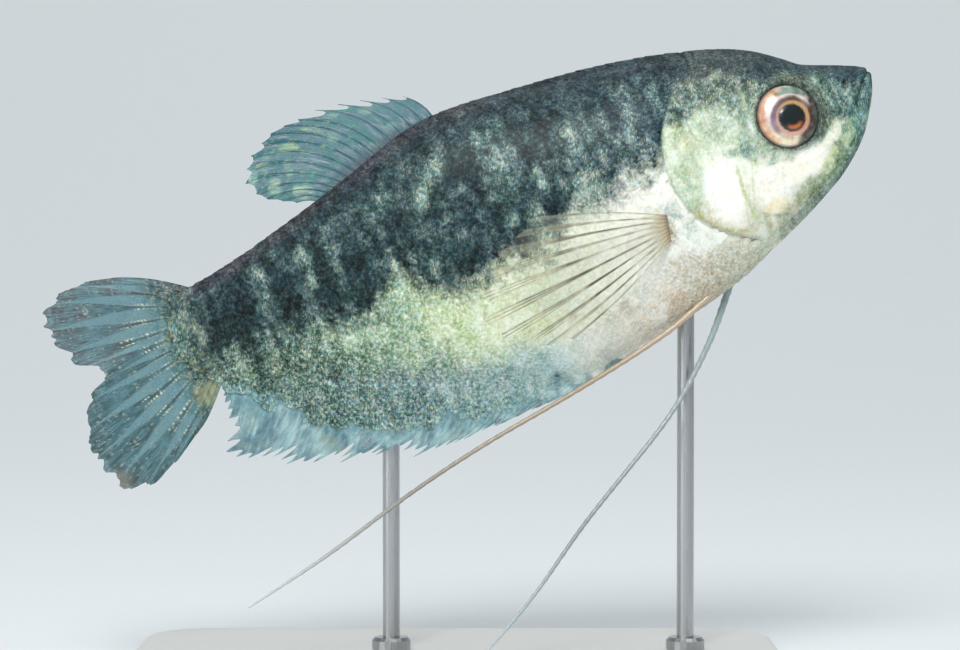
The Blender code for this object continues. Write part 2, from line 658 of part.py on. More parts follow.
def caudal_fin(fish, group, cutters, clear, rng):
    """The two-lobed tail fin, its rays fanned from the end of the tail stalk."""
    top, bottom = CAUDAL["roots"]
    margin = smooth_line(CAUDAL["margin"], MARGIN_POINTS)
    rays = []
    for k in range(CAUDAL["rays"]):
        share = k / (CAUDAL["rays"] - 1)
        root = Vector((BODY_LENGTH - FIN_SUNK, top + (bottom - top) * share))
        tip = at_share(margin, share)
        tip = root.lerp(tip, rng.uniform(*EVEN_REACH))
        flat = ray_curve(root, tip, CAUDAL_BOW * (1 - 2 * share), CAUDAL["steps"])
        sway = CAUDAL_SWAY * math.cos(share * 2 * math.pi)
        rays.append([fish_point(p.x, p.y, sway * (i / CAUDAL["steps"]) ** 2) for i, p in enumerate(flat)])
    made = fin("caudal_fin", rays, CAUDAL, fish, cutters, rng)
    boolean(made, clear, "DIFFERENCE")
    finish_node(largest_piece(made), "fin_membrane", group, cutters)


def pectoral_fin(name, side, fish, group, cutters, clear, rng):
    """A fan of rays that leaves the flank square to it and bends back into its own plane."""
    swing = math.radians(PECTORAL_SWING[name])
    margin = smooth_line(PECTORAL["margin"], MARGIN_POINTS)
    upper, lower = (Vector(p) for p in PECTORAL["roots"])
    steps, fine_steps = PECTORAL["steps"], 40
    rays = []
    for k in range(PECTORAL["rays"]):
        share = k / (PECTORAL["rays"] - 1)
        root, tip = upper.lerp(lower, share), at_share(margin, share)
        tip = root.lerp(tip, rng.uniform(*EVEN_REACH))
        start = surface_y(root.x, root.y) - FIN_SUNK
        points = []
        for p in ray_curve(root, tip, PECTORAL_BOW * (1 - 2 * share), fine_steps):
            back = (p - root).length
            bend = FIN_SUNK + PECTORAL_STAND_OFF * (1 - math.exp(-back / PECTORAL_TURN))
            cup = PECTORAL_CUP * back * back * (2 * share - 1) ** 2
            points.append(fish_point(p.x, p.y, side * (start + bend + math.tan(swing) * back + cup)))
        inner = fish_point(root.x - PECTORAL_INNER, root.y, side * start)
        rays.append([inner, *[at_share(points, (i / steps) ** PECTORAL_CROWDING) for i in range(steps + 1)]])
    made = fin(name, rays, PECTORAL, fish, cutters, rng)
    boolean(made, clear, "DIFFERENCE")
    finish_node(largest_piece(made), "fin_membrane", group, cutters)


def feelers(fish, group, cutters, clear):
    """Each feeler as a root length and a tip length, parted by a gap."""
    for name, knots in FEELERS.items():
        path = smooth_line(knots, FEELER_POINTS)
        part = round(FEELER_POINTS * FEELER_PART)
        places = [fish_point(p[0], p[1], p[2]) for p in path]
        radii = [p[3] for p in path]
        step = (places[part] - places[part - 1]).normalized() * GAP * MM
        lengths = {
            name + "_root": (places[:part] + [places[part] - step], radii[:part + 1]),
            name + "_tip": (places[part:], radii[part:]),
        }
        for label, (line, thick) in lengths.items():
            made = tube(label, line, thick, fish, cutters)
            if label.endswith("_root"):
                boolean(made, clear, "DIFFERENCE")
                largest_piece(made)
            finish_node(made, "feeler", group, cutters)


def stand(group, cutters, clear):
    """A flat base with rounded corners, and two turned rods that carry the fish."""
    bpy.ops.mesh.primitive_cube_add(size=1.0, location=(0.0, 0.0, BASE_HEIGHT / 2 * MM))
    base = bpy.context.object
    base.name = base.data.name = "stand_base"
    base.data.transform(Matrix.Diagonal((BASE_LENGTH * MM, BASE_WIDTH * MM, BASE_HEIGHT * MM, 1.0)))
    bm = bmesh.new()
    bm.from_mesh(base.data)
    upright = [e for e in bm.edges if abs(e.verts[0].co.z - e.verts[1].co.z) > MM]
    corner, edge = (BASE_CORNER * MM, CORNER_STEPS), (BASE_EDGE * MM, EDGE_STEPS)
    bmesh.ops.bevel(bm, geom=upright, offset=corner[0], segments=corner[1], affect="EDGES", profile=0.5)
    rim = [e for e in bm.edges if e.verts[0].co.z > 0 and e.verts[1].co.z > 0]
    bmesh.ops.bevel(bm, geom=rim, offset=edge[0], segments=edge[1], affect="EDGES", profile=0.5)
    bm.to_mesh(base.data)
    bm.free()
    for owner in list(base.users_collection):
        owner.objects.unlink(base)
    group.objects.link(base)
    finish_node(base, "stand_lacquer", group, cutters)
    for name, (x, y) in RODS.items():
        foot, reach = BASE_HEIGHT + GAP, SNOUT_Z
        collar = foot + COLLAR_HEIGHT
        profile = [
            (0.0, reach), (ROD_RADIUS, reach), (ROD_RADIUS, collar), (COLLAR_RADIUS - COLLAR_EDGE, collar),
            (COLLAR_RADIUS, collar - COLLAR_EDGE), (COLLAR_RADIUS, foot), (0.0, foot),
        ]
        rod = turned(name, profile, ROD_SIDES, None, cutters)
        rod.location = (x * MM, y * MM, 0.0)
        made = as_mesh(rod, name, None, cutters)
        boolean(made, clear, "DIFFERENCE")
        lowest_piece(made)
        finish_node(made, "stand_steel", group, cutters)


def main():
    """Builds every piece and hides the cutters."""
    clear_scene()
    group, cutters = collection("three_spot_gourami"), collection("cutters")
    fish = new_object("fish_frame", None, None, group)
    fish.location = (SNOUT_X * MM, 0.0, SNOUT_Z * MM)
    fish.rotation_euler = (0.0, -math.radians(PITCH), 0.0)
    rng = random.Random(7)
    clear = body("body_clearance", GAP, fish, cutters)
    flesh_nodes(fish, group, cutters)
    eyes(fish, group, cutters)
    median_fin("dorsal_fin", DORSAL, BACK, 1.0, fish, group, cutters, clear, rng)
    median_fin("anal_fin", ANAL, BELLY, -1.0, fish, group, cutters, clear, rng)
    caudal_fin(fish, group, cutters, clear, rng)
    pectoral_fin("pectoral_fin_right", -1, fish, group, cutters, clear, rng)
    pectoral_fin("pectoral_fin_left", 1, fish, group, cutters, clear, rng)
    feelers(fish, group, cutters, clear)
    stand(group, cutters, clear)
    for obj in cutters.objects:
        obj.hide_render = True
        obj.display_type = "WIRE"


main()
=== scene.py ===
"""A three spot gourami as a still museum model: skin, scales, eyes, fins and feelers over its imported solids.

The fish is drawn in its own frame in millimetres: s runs back from the snout tip, h runs up from it, and y is
across the body with the right side at -y. The side view is the plane of s and h. to_world turns all three into the
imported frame's metres.
"""

import logging
import math
from dataclasses import dataclass
from enum import Enum

import bpy
import numpy as np
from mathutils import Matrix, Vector


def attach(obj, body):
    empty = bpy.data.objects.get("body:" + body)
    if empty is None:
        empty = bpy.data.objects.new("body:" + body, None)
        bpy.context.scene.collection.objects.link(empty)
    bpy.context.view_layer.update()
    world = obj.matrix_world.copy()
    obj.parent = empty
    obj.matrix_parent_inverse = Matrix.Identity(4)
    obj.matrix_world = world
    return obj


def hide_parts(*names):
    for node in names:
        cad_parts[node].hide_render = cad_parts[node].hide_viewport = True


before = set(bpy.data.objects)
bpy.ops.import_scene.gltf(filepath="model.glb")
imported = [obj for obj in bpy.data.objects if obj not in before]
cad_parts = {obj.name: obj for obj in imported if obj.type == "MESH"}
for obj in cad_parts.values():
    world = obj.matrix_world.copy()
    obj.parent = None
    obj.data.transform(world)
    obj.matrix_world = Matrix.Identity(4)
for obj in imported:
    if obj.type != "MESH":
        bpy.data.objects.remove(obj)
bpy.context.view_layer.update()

Array = np.ndarray
LOG = logging.getLogger("gourami")
MM = 0.001
TILT = math.radians(20.84)  # how far the nose is raised
SNOUT_X, SNOUT_Z = 53.02, 78.7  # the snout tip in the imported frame, in mm
TRUNK_END = 91.5  # where the tail stalk ends and the tail fin's scaled base begins
HIDE_END = 96.4  # where the skin ends, inside the tail fin's base


class Side(Enum):
    """A flank of the fish, as the sign of y."""

    RIGHT = -1
    LEFT = 1


class Slot(Enum):
    """Names of the material slots."""

    HEAD = "skin_head"
    FLANK = "skin_flank"
    FIN = "fin_membrane"
    EYE = "eye"
    FEELER = "feeler"
    LACQUER = "stand_lacquer"
    STEEL = "stand_steel"


def to_world(points: Array) -> Array:
    """Turns points of the fish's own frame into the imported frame.

    Args:
        points: (s, h, y) in mm along the last axis.

    Returns:
        (x, y, z) in metres.
    """
    s, h, y = points[..., 0], points[..., 1], points[..., 2]
    x = SNOUT_X - math.cos(TILT) * s - math.sin(TILT) * h
    z = SNOUT_Z - math.sin(TILT) * s + math.cos(TILT) * h
    return np.stack([x, y, z], axis=-1) * MM


def linear(colour: str | Array) -> Array:
    """Turns an sRGB hex colour into linear red, green and blue.

    Args:
        colour: the hex colour, or a linear colour, which stays as it is.

    Returns:
        The linear colour.
    """
    if not isinstance(colour, str):
        return colour
    srgb = np.array([int(colour[k : k + 2], 16) for k in (1, 3, 5)]) / 255.0
    return np.where(srgb <= 0.04045, srgb / 12.92, ((srgb + 0.055) / 1.055) ** 2.4)


def over(colour: str | Array, *layers: tuple) -> Array:
    """Lays paints over a colour, one after the other.

    Args:
        colour: the lowest colour, hex or linear.
        layers: each paint, hex or linear, with its share from 0 to 1 for each point.

    Returns:
        The linear colour of each point.
    """
    colour = linear(colour)
    for paint, share in layers:
        colour = colour + (linear(paint) - colour) * np.clip(share, 0.0, 1.0)[..., None]
    return colour


def ease(value: Array, low: float, high: float) -> Array:
    """Rises smoothly from 0 at low to 1 at high."""
    t = np.clip((value - low) / (high - low), 0.0, 1.0)
    return t * t * (3.0 - 2.0 * t)


def bell(value: Array, width: float) -> Array:
    """Is 1 where the value is 0 and dies away over the width on both sides."""
    return np.exp(-((value / width) ** 2))


def unit(vectors: Array) -> Array:
    """Brings vectors to a length of one."""
    return vectors / np.maximum(np.linalg.norm(vectors, axis=-1, keepdims=True), 1e-9)


def read(knots: tuple, at: Array) -> Array:
    """Reads straight lines between knots given as (place, value)."""
    return np.interp(at, [k[0] for k in knots], [k[1] for k in knots])


def read_rows(table: Array, i: Array, a: Array, j: Array, b: Array) -> Array:
    """Reads a table between its rows i and i + 1 by a share a, and between its columns j and j + 1 by b."""
    first, second = (table[row, j] * (1 - b) + table[row, j + 1] * b for row in (i, i + 1))
    return first * (1 - a) + second * a


def through(points: tuple, x: Array) -> Array:
    """Height of a smooth curve through knots, eased in the root of x so that a blunt snout rounds off.

    Args:
        points: knots as (x, height).
        x: where to read the curve.

    Returns:
        The curve's height at each x.
    """
    knots = np.array(points, float)
    place, value = np.sqrt(knots[:, 0]), knots[:, 1]
    last = len(place) - 1
    at = np.clip(np.sqrt(np.maximum(x, 0.0)), place[0], place[-1])
    i = np.clip(np.searchsorted(place, at, side="right") - 1, 0, last - 1)
    before, after = np.maximum(np.arange(last + 1) - 1, 0), np.minimum(np.arange(last + 1) + 1, last)
    slope = (value[after] - value[before]) / (place[after] - place[before])
    step = place[i + 1] - place[i]
    t = (at - place[i]) / step
    ends = value[i] * (2 * t**3 - 3 * t**2 + 1) + value[i + 1] * (3 * t**2 - 2 * t**3)
    return ends + slope[i] * step * (t**3 - 2 * t**2 + t) + slope[i + 1] * step * (t**3 - t**2)


def smooth_line(points: tuple, count: int) -> Array:
    """Spaces points evenly along a smooth curve through knots of any dimension.

    Args:
        points: the knots.
        count: how many points to return.

    Returns:
        An array of the points.
    """
    knots = np.array(points, float)
    ends = np.vstack([2 * knots[0] - knots[1], knots, 2 * knots[-1] - knots[-2]])
    t = (np.arange(12) / 12.0)[:, None]
    dense = []
    for a, b, c, d in zip(ends, ends[1:], ends[2:], ends[3:]):
        bend = (2 * a - 5 * b + 4 * c - d) * t**2 + (3 * b - a - 3 * c + d) * t**3
        dense.append((2 * b + (c - a) * t + bend) * 0.5)
    line = np.vstack([*dense, knots[-1:]])
    run = np.concatenate([[0.0], np.cumsum(np.linalg.norm(np.diff(line, axis=0), axis=1))])
    want = np.linspace(0.0, run[-1], count)
    return np.stack([np.interp(want, run, column) for column in line.T], axis=1)


def beside(line: Array, s: Array, h: Array) -> tuple[Array, Array]:
    """Reads how far points of the side view lie from a line.

    Args:
        line: the line's points.
        s, h: the points.

    Returns:
        The distance, positive towards the tail where the line runs down, and the share of the line reached.
    """
    best, signed, share = np.full(s.shape, np.inf), np.zeros(s.shape), np.zeros(s.shape)
    for k, (a, b) in enumerate(zip(line, line[1:])):
        length = max(np.linalg.norm(b - a), 1e-9)
        along = (b - a) / length
        reach = np.clip((s - a[0]) * along[0] + (h - a[1]) * along[1], 0.0, length)
        away = np.hypot(s - a[0] - along[0] * reach, h - a[1] - along[1] * reach)
        near = away < best
        best = np.where(near, away, best)
        side = np.sign(-(s - a[0]) * along[1] + (h - a[1]) * along[0])
        signed = np.where(near, away * side, signed)
        share = np.where(near, (k + reach / length) / (len(line) - 1), share)
    return signed, share


def capped_rings(rings: int, sides: int) -> list:
    """Faces of a row of rings, closed by one point at each end.

    Args:
        rings: how many rings there are.
        sides: how many points a ring has.

    Returns:
        Vertex numbers for each face, with the two end points numbered after all the rings.
    """
    i, j = np.meshgrid(np.arange(rings - 1), np.arange(sides), indexing="ij")
    a, b = i * sides + j, i * sides + (j + 1) % sides
    faces = np.stack([a, a + sides, b + sides, b], axis=-1).reshape(-1, 4).tolist()
    point, last = rings * sides, (rings - 1) * sides
    faces += [[point, k, (k + 1) % sides] for k in range(sides)]
    return faces + [[point + 1, last + (k + 1) % sides, last + k] for k in range(sides)]


class Grain:
    """Smooth random values over a plane, the same on each run."""

    SIZE = 64  # the lattice repeats after so many steps

    def __init__(self, seed: int) -> None:
        """Draws the lattice of values."""
        self.table = np.random.default_rng(seed).random((self.SIZE, self.SIZE))

    def at(self, x: Array, y: Array) -> Array:
        """Reads the values, with one lattice step for each unit.

        Args:
            x, y: where to read.

        Returns:
            Values from 0 to 1.
        """
        i, j = np.floor(x).astype(int), np.floor(y).astype(int)
        u, v = x - i, y - j
        u, v = u * u * (3 - 2 * u), v * v * (3 - 2 * v)
        (i, k), (j, m) = ((n % self.SIZE, (n + 1) % self.SIZE) for n in (i, j))
        low = self.table[i, j] * (1 - u) + self.table[k, j] * u
        high = self.table[i, m] * (1 - u) + self.table[k, m] * u
        return low * (1 - v) + high * v

    def layered(self, x: Array, y: Array) -> Array:
        """Adds three octaves, centred on 0 and reaching about half a unit either way."""
        rough = self.at(x, y) + 0.5 * self.at(2.1 * x + 7, 2.1 * y + 3) + 0.25 * self.at(4.3 * x + 1, 4.3 * y + 5)
        return rough / 1.75 - 0.5


@dataclass(frozen=True)
class BodyForm:
    """The body's outline and girth by s, in mm."""

    back: tuple = (
        (0.0, 0.7), (1.1, 2.2), (3.1, 3.1), (7.8, 5.0), (9.9, 6.6), (13.2, 8.9), (16.7, 10.5), (21.6, 12.0),
        (31.8, 14.0), (45.0, 15.3), (53.0, 15.7), (58.8, 14.9), (66.7, 12.3), (77.4, 9.2), (85.0, 7.3),
        (91.5, 6.3), (96.5, 7.2),
    )
    belly: tuple = (
        (0.0, 0.7), (0.3, -0.8), (0.9, -2.2), (1.9, -3.9), (3.2, -5.9), (5.8, -8.5), (8.2, -10.3), (12.0, -12.4),
        (19.5, -15.8), (25.5, -18.2), (35.3, -20.5), (45.4, -21.9), (52.1, -21.3), (58.4, -20.0), (70.6, -16.0),
        (82.3, -10.8), (91.5, -5.9), (96.5, -6.4),
    )
    half_width: tuple = (
        (0.0, 0.1), (0.3, 1.05), (1.0, 1.7), (3.7, 2.9), (7.1, 3.9), (11.8, 5.15), (18.3, 6.5), (25.5, 7.3),
        (35.3, 7.6), (45.4, 7.3), (58.4, 6.1), (70.6, 4.6), (82.3, 2.9), (91.5, 1.5), (94.0, 0.72), (96.5, 0.12),
    )
    widest_at: tuple = (
        (0.0, 0.7), (1.9, -0.4), (7.0, -1.3), (12.0, -1.6), (25.0, -2.8), (45.0, -3.5), (60.0, -2.2), (96.5, 0.2),
    )
    back_fullness: tuple = ((0.0, 2.2), (12.0, 2.0), (50.0, 1.9), (91.5, 2.0))
    belly_fullness: tuple = ((0.0, 2.2), (20.0, 2.1), (42.0, 2.0), (55.0, 1.7), (91.5, 2.0))
    least_rise: float = 0.15  # of back and belly from the widest level
    least_half: float = 0.1  # of the width

    def section(self, s: Array) -> tuple[Array, Array, Array, Array]:
        """Reads the girth.

        Args:
            s: where along the body.

        Returns:
            The top, the bottom, half the width and the widest level.
        """
        level = through(self.widest_at, s)
        top = np.maximum(through(self.back, s), level + self.least_rise)
        bottom = np.minimum(through(self.belly, s), level - self.least_rise)
        return top, bottom, np.maximum(through(self.half_width, s), self.least_half), level

    def fullness(self, s: Array, above: Array) -> Array:
        """How boxy the girth is above or below its widest level, 2 being an ellipse."""
        return np.where(above, through(self.back_fullness, s), through(self.belly_fullness, s))

    def flank(self, s: Array, h: Array) -> Array:
        """Finds the flank at points of the side view.

        Args:
            s, h: the points.

        Returns:
            How far the flank lies from the middle plane.
        """
        top, bottom, half, level = self.section(s)
        above = h >= level
        share = np.where(above, (h - level) / (top - level), (level - h) / (level - bottom))
        full = self.fullness(s, above)
        return half * np.maximum(1.0 - np.clip(share, 0.0, 1.0) ** full, 0.0) ** (1.0 / full)


class Hide:
    """The body's surface, addressed by s and by v, the way round the girth from the widest level, up positive."""

    ROWS, COLUMNS = 260, 161  # the table's size along the body and round a flank
    CROWDING = 1.6  # how much closer the rows lie towards the snout
    ARC = 360  # steps of a quarter of the girth when it is measured

    def __init__(self, form: BodyForm, length: float) -> None:
        """Tabulates the surface.

        Args:
            form: the outline and girth.
            length: how far back the table reaches.
        """
        self.form, self.length = form, length
        self.stations = length * (np.arange(self.ROWS) / (self.ROWS - 1)) ** self.CROWDING
        s = self.stations[:, None]
        top, bottom, half, level = form.section(s)
        angle = np.linspace(math.pi / 2, -math.pi / 2, 2 * self.ARC + 1)[None, :]
        across, up = np.cos(angle), np.sin(angle)
        full = form.fullness(s, up >= 0)
        y = half * np.abs(across) ** (2 / full)
        h = level + np.where(up >= 0, top - level, level - bottom) * np.sign(up) * np.abs(up) ** (2 / full)
        run = np.pad(np.cumsum(np.hypot(np.diff(h), np.diff(y)), axis=1), ((0, 0), (1, 0)))
        middle = run[:, self.ARC]
        self.over, self.under = middle, run[:, -1] - middle
        self.h, self.y = np.zeros((self.ROWS, self.COLUMNS)), np.zeros((self.ROWS, self.COLUMNS))
        share = np.linspace(1.0, -1.0, self.COLUMNS)
        for k in range(self.ROWS):
            want = middle[k] - np.where(share >= 0, share * self.over[k], share * self.under[k])
            self.h[k], self.y[k] = np.interp(want, run[k], h[k]), np.interp(want, run[k], y[k])

    def reach(self, s: Array) -> tuple[Array, Array]:
        """Reads the girth from the widest level up to the back, and down to the belly."""
        return np.interp(s, self.stations, self.over), np.interp(s, self.stations, self.under)

    def point(self, s: Array, v: Array, side: Side) -> Array:
        """Finds points on the surface; past the back or belly they carry on down the other flank.

        Args:
            s, v: where the points lie.
            side: the flank.

        Returns:
            The points as (s, h, y).
        """
        up, down = self.reach(s)
        w = np.where(v >= 0, v / up, v / down)
        crossed = np.abs(w) > 1.0
        w = np.where(w > 1.0, 2.0 - w, np.where(w < -1.0, -2.0 - w, w))
        row = np.interp(s, self.stations, np.arange(self.ROWS))
        i, column = np.clip(row.astype(int), 0, self.ROWS - 2), (1.0 - w) / 2 * (self.COLUMNS - 1)
        j = np.clip(column.astype(int), 0, self.COLUMNS - 2)
        h, y = (read_rows(table, i, row - i, j, column - j) for table in (self.h, self.y))
        return np.stack([s, h, y * np.where(crossed, -side.value, side.value)], axis=-1)

    def normal(self, s: Array, v: Array, side: Side, step: float = 0.35) -> Array:
        """Finds the way out of the surface.

        Args:
            s, v: where.
            side: the flank.
            step: how far apart the surface is read, in mm.

        Returns:
            Unit vectors.
        """
        along = self.point(s + step, v, side) - self.point(s - step, v, side)
        round_it = self.point(s, v + step, side) - self.point(s, v - step, side)
        return unit(np.cross(along, round_it) * side.value)

    def girth_share(self, s: Array, v: Array, side: Side) -> Array:
        """Finds where points lie round the whole girth.

        Args:
            s, v: the points.
            side: their flank.

        Returns:
            Shares from 0 at the back down the right flank to 1.
        """
        up, down = self.reach(s)
        half = np.clip((up - v) / (up + down), 0.0, 1.0) / 2
        return half if side is Side.RIGHT else 1.0 - half


GILL_EDGE = ((25.2, 6.9), (28.0, 3.0), (29.2, -2.0), (28.1, -7.4), (26.0, -10.2), (22.8, -12.7), (19.8, -14.4))
GILL_LINE = ((18.0, 17.0), (21.5, 11.4), *GILL_EDGE, (18.4, -18.5))
MOUTH = ((-1.4, 2.2), (0.1, 1.3), (1.4, 0.0), (3.1, -2.0))
EYE_AT = (12.15, -0.5)
NOSTRILS = ((3.6, 0.9, 0.32), (6.3, 1.9, 0.38))  # s, h and radius


def behind_gill(s: Array, h: Array) -> Array:
    """How far points of the side view lie behind the line of the gill opening; on the head it is negative."""
    return beside(smooth_line(GILL_LINE, 40), s, h)[0]


@dataclass(frozen=True)
class Fold:
    """A fold of the head's skin along a side-view line, in mm."""

    line: tuple
    ridge: float = 0.0
    groove: float = 0.0
    width: float = 0.25
    step: float = 0.0  # how far the skin ahead of the line stands over the skin behind it
    fade: float = 3.0  # how far ahead the step dies away

    def height(self, s: Array, h: Array) -> Array:
        """Reads how far the fold lifts the skin.

        Args:
            s, h: points of the side view.

        Returns:
            The lift of each point.
        """
        away, share = beside(smooth_line(self.line, 30), s, h)
        ends = ease(share, 0.0, 0.12) * ease(1.0 - share, 0.0, 0.12)
        ahead = 0.5 - 0.5 * np.tanh(away / (0.5 * self.width))
        lift = self.step * ahead * bell(np.minimum(away, 0.0), self.fade)
        lift += self.ridge * bell(away, self.width)
        lift -= self.groove * bell(away - 0.6 * self.width, self.width)
        return lift * ends


FOLDS = (
    Fold(GILL_EDGE, step=0.34, fade=4.0, groove=0.34, width=0.24),
    Fold(((20.4, 1.6), (21.2, -3.0), (21.0, -7.5), (19.4, -10.9), (15.4, -12.4)), step=0.15, groove=0.1, fade=1.6),
    Fold(((21.1, -7.8), (24.5, -8.7), (27.6, -8.3)), groove=0.12, width=0.18),
    Fold(((6.0, -3.4), (8.4, -5.7), (12.0, -6.6), (15.6, -5.9), (17.6, -3.3)), ridge=0.1, groove=0.08, width=0.32),
    Fold(((1.9, 0.4), (3.4, -0.9), (4.9, -3.1), (5.1, -4.7)), groove=0.13, width=0.2),
    Fold(((6.8, 2.0), (9.0, 3.6), (12.0, 4.4), (15.2, 3.4)), ridge=0.14, width=0.5),
    Fold(((2.4, -3.9), (4.8, -6.4), (7.4, -8.6), (10.2, -10.2), (14.0, -11.6)), groove=0.14, width=0.22),
    Fold(((7.6, -9.6), (11.0, -11.4), (15.5, -13.0), (19.5, -14.3)), groove=0.12, width=0.2),
    Fold(((9.0, -10.8), (12.5, -12.4), (17.0, -14.2), (19.4, -15.2)), groove=0.12, width=0.2),
    Fold(((17.2, 2.6), (20.0, 3.6), (24.0, 4.2)), groove=0.08, ridge=0.05, width=0.2),
    Fold(((17.8, -8.2), (15.0, -8.9), (11.5, -8.9), (8.4, -7.4)), ridge=0.06, width=0.4),
)


class Relief:
    """How far the skin stands out from the plain body: the mouth, lips, nostrils, eye rims and folds of the head."""

    END = 32.0  # the relief is all ahead of this
    CLEFT = 0.3
    LIP, LIP_AWAY = 0.2, 0.5  # the height of the lips, and how far their crests lie from the cleft
    RIM, RIM_RADIUS = 0.24, 4.45
    SOCKET, SOCKET_RADIUS = 1.6, 4.15
    NOSTRIL_RIM, NOSTRIL_DEPTH = 0.12, 0.55

    def height(self, s: Array, h: Array) -> Array:
        """Reads the lift of the skin, in mm.

        Args:
            s, h: points of the side view.

        Returns:
            The lift of each point.
        """
        lift = np.zeros(s.shape)
        head = s < self.END
        s, h = s[head], h[head]
        made = sum(fold.height(s, h) for fold in FOLDS)
        away, share = beside(smooth_line(MOUTH, 40), s, h)
        corner = ease(1.0 - share, 0.0, 0.16) * (0.45 + 0.55 * ease(s, 0.1, 1.0))
        made -= self.CLEFT * bell(away, 0.17) * corner
        for lip in (-self.LIP_AWAY, self.LIP_AWAY):
            made += self.LIP * bell(away - lip, 0.3) * corner
        eye = np.hypot(s - EYE_AT[0], h - EYE_AT[1])
        made += self.RIM * bell(eye - self.RIM_RADIUS, 0.3) - self.SOCKET * ease(self.SOCKET_RADIUS - eye, 0.0, 0.45)
        for at, up, radius in NOSTRILS:
            from_it = np.hypot(s - at, h - up)
            made += self.NOSTRIL_RIM * bell(from_it - radius * 1.5, 0.16)
            made -= self.NOSTRIL_DEPTH * ease(radius - from_it, -0.12, 0.12)
        lift[head] = made
        return lift


@dataclass(frozen=True)
class Patch:
    """A soft-edged oval of the side view, in mm, turned nose down by so many degrees."""

    s: float
    h: float
    length: float
    height: float
    turn: float
    strength: float

    def mask(self, s: Array, h: Array) -> Array:
        """Reads how strongly the patch covers points.

        Args:
            s, h: points of the side view.

        Returns:
            Its strength at each point.
        """
        c, n = math.cos(math.radians(self.turn)), math.sin(math.radians(self.turn))
        a, b = (s - self.s) * c + (h - self.h) * n, (h - self.h) * c - (s - self.s) * n
        return self.strength * ease(1.35 - np.hypot(a / self.length, b / self.height), 0.0, 0.75)


@dataclass(frozen=True)
class Blotch(Patch):
    """A patch with a colour of its own."""

    colour: str


@dataclass(frozen=True)
class Streak:
    """A thin marking along a side-view line, in mm."""

    line: tuple
    width: float
    colour: str
    strength: float

    def mask(self, s: Array, h: Array) -> Array:
        """Reads how strongly the marking covers points.

        Args:
            s, h: points of the side view.

        Returns:
            Its strength at each point.
        """
        away, share = beside(smooth_line(self.line, 24), s, h)
        return self.strength * bell(away, self.width) * ease(share, -0.02, 0.1) * ease(1 - share, -0.02, 0.1)


PALE_MARKS = tuple(Patch(*row) for row in (  # paler parts of the slate flank: s, h, length, height, turn, strength
    (47.5, 7.3, 1.9, 1.6, 0, 0.5), (49.8, 10.2, 0.8, 1.6, -25, 0.6), (44.4, 3.3, 1.0, 2.0, -8, 1.05),
    (59.4, 6.2, 1.2, 1.9, 10, 1.1), (57.2, 8.2, 1.0, 1.6, 15, 0.75), (59.7, 3.2, 0.8, 1.2, 0, 0.6),
    (55.8, 9.9, 0.7, 0.8, 0, 0.6), (65.3, 1.2, 0.5, 3.2, 3, 0.85), (65.6, -3.4, 1.3, 2.4, 0, 0.85),
    (63.7, 8.0, 0.7, 1.3, 0, 0.55), (76.0, 3.8, 1.1, 2.8, 0, 1.4), (82.5, 2.3, 0.9, 3.9, 6, 1.15),
    (71.5, 4.5, 0.6, 0.9, 0, 0.6), (72.0, 2.0, 0.5, 0.7, 0, 0.5), (69.5, 7.5, 0.6, 0.6, 0, 0.5),
    (52.5, 1.0, 1.0, 0.5, 10, 0.6), (57.5, 1.7, 0.5, 0.4, 0, 0.6), (38.4, 0.4, 1.9, 1.7, 0, 1.15),
    (40.6, -0.6, 1.1, 0.6, 0, 0.6), (54.6, 5.2, 0.5, 0.5, 0, 0.5), (50.5, 3.6, 0.5, 0.9, 0, 0.45),
    (79.4, 6.6, 0.6, 0.7, 0, 0.5), (87.0, 3.8, 0.6, 0.9, 0, 0.45), (43.3, 3.7, 0.3, 0.3, 0, 0.8),
))
DARK_MARKS = tuple(Patch(*row) for row in (  # its darker parts
    (90.0, -1.5, 2.2, 3.0, 0, 0.8), (87.0, 1.0, 2.6, 4.4, 0, 0.65), (79.5, 1.0, 1.5, 4.8, 0, 0.7),
    (73.5, 0.5, 1.3, 4.4, 0, 0.75), (68.0, 0.0, 1.3, 3.6, 0, 0.25), (60.0, -3.0, 4.2, 2.2, 0, 0.15),
    (52.0, -3.0, 3.0, 1.8, 0, 0.55), (47.5, 1.5, 2.2, 2.6, 0, 0.5), (52.5, 9.0, 2.4, 2.4, 0, 0.75),
    (64.0, 10.3, 2.0, 1.6, -15, 0.55), (61.6, 1.5, 1.2, 1.2, 0, 0.55), (42.0, 9.0, 1.6, 2.2, 0, 0.5),
    (36.5, 9.0, 1.2, 2.0, 0, 0.45), (54.8, 2.8, 1.6, 1.6, 0, 0.5), (62.4, 5.6, 0.9, 2.2, 5, 0.5),
    (44.6, 7.6, 0.9, 1.6, 0, 0.5),
))
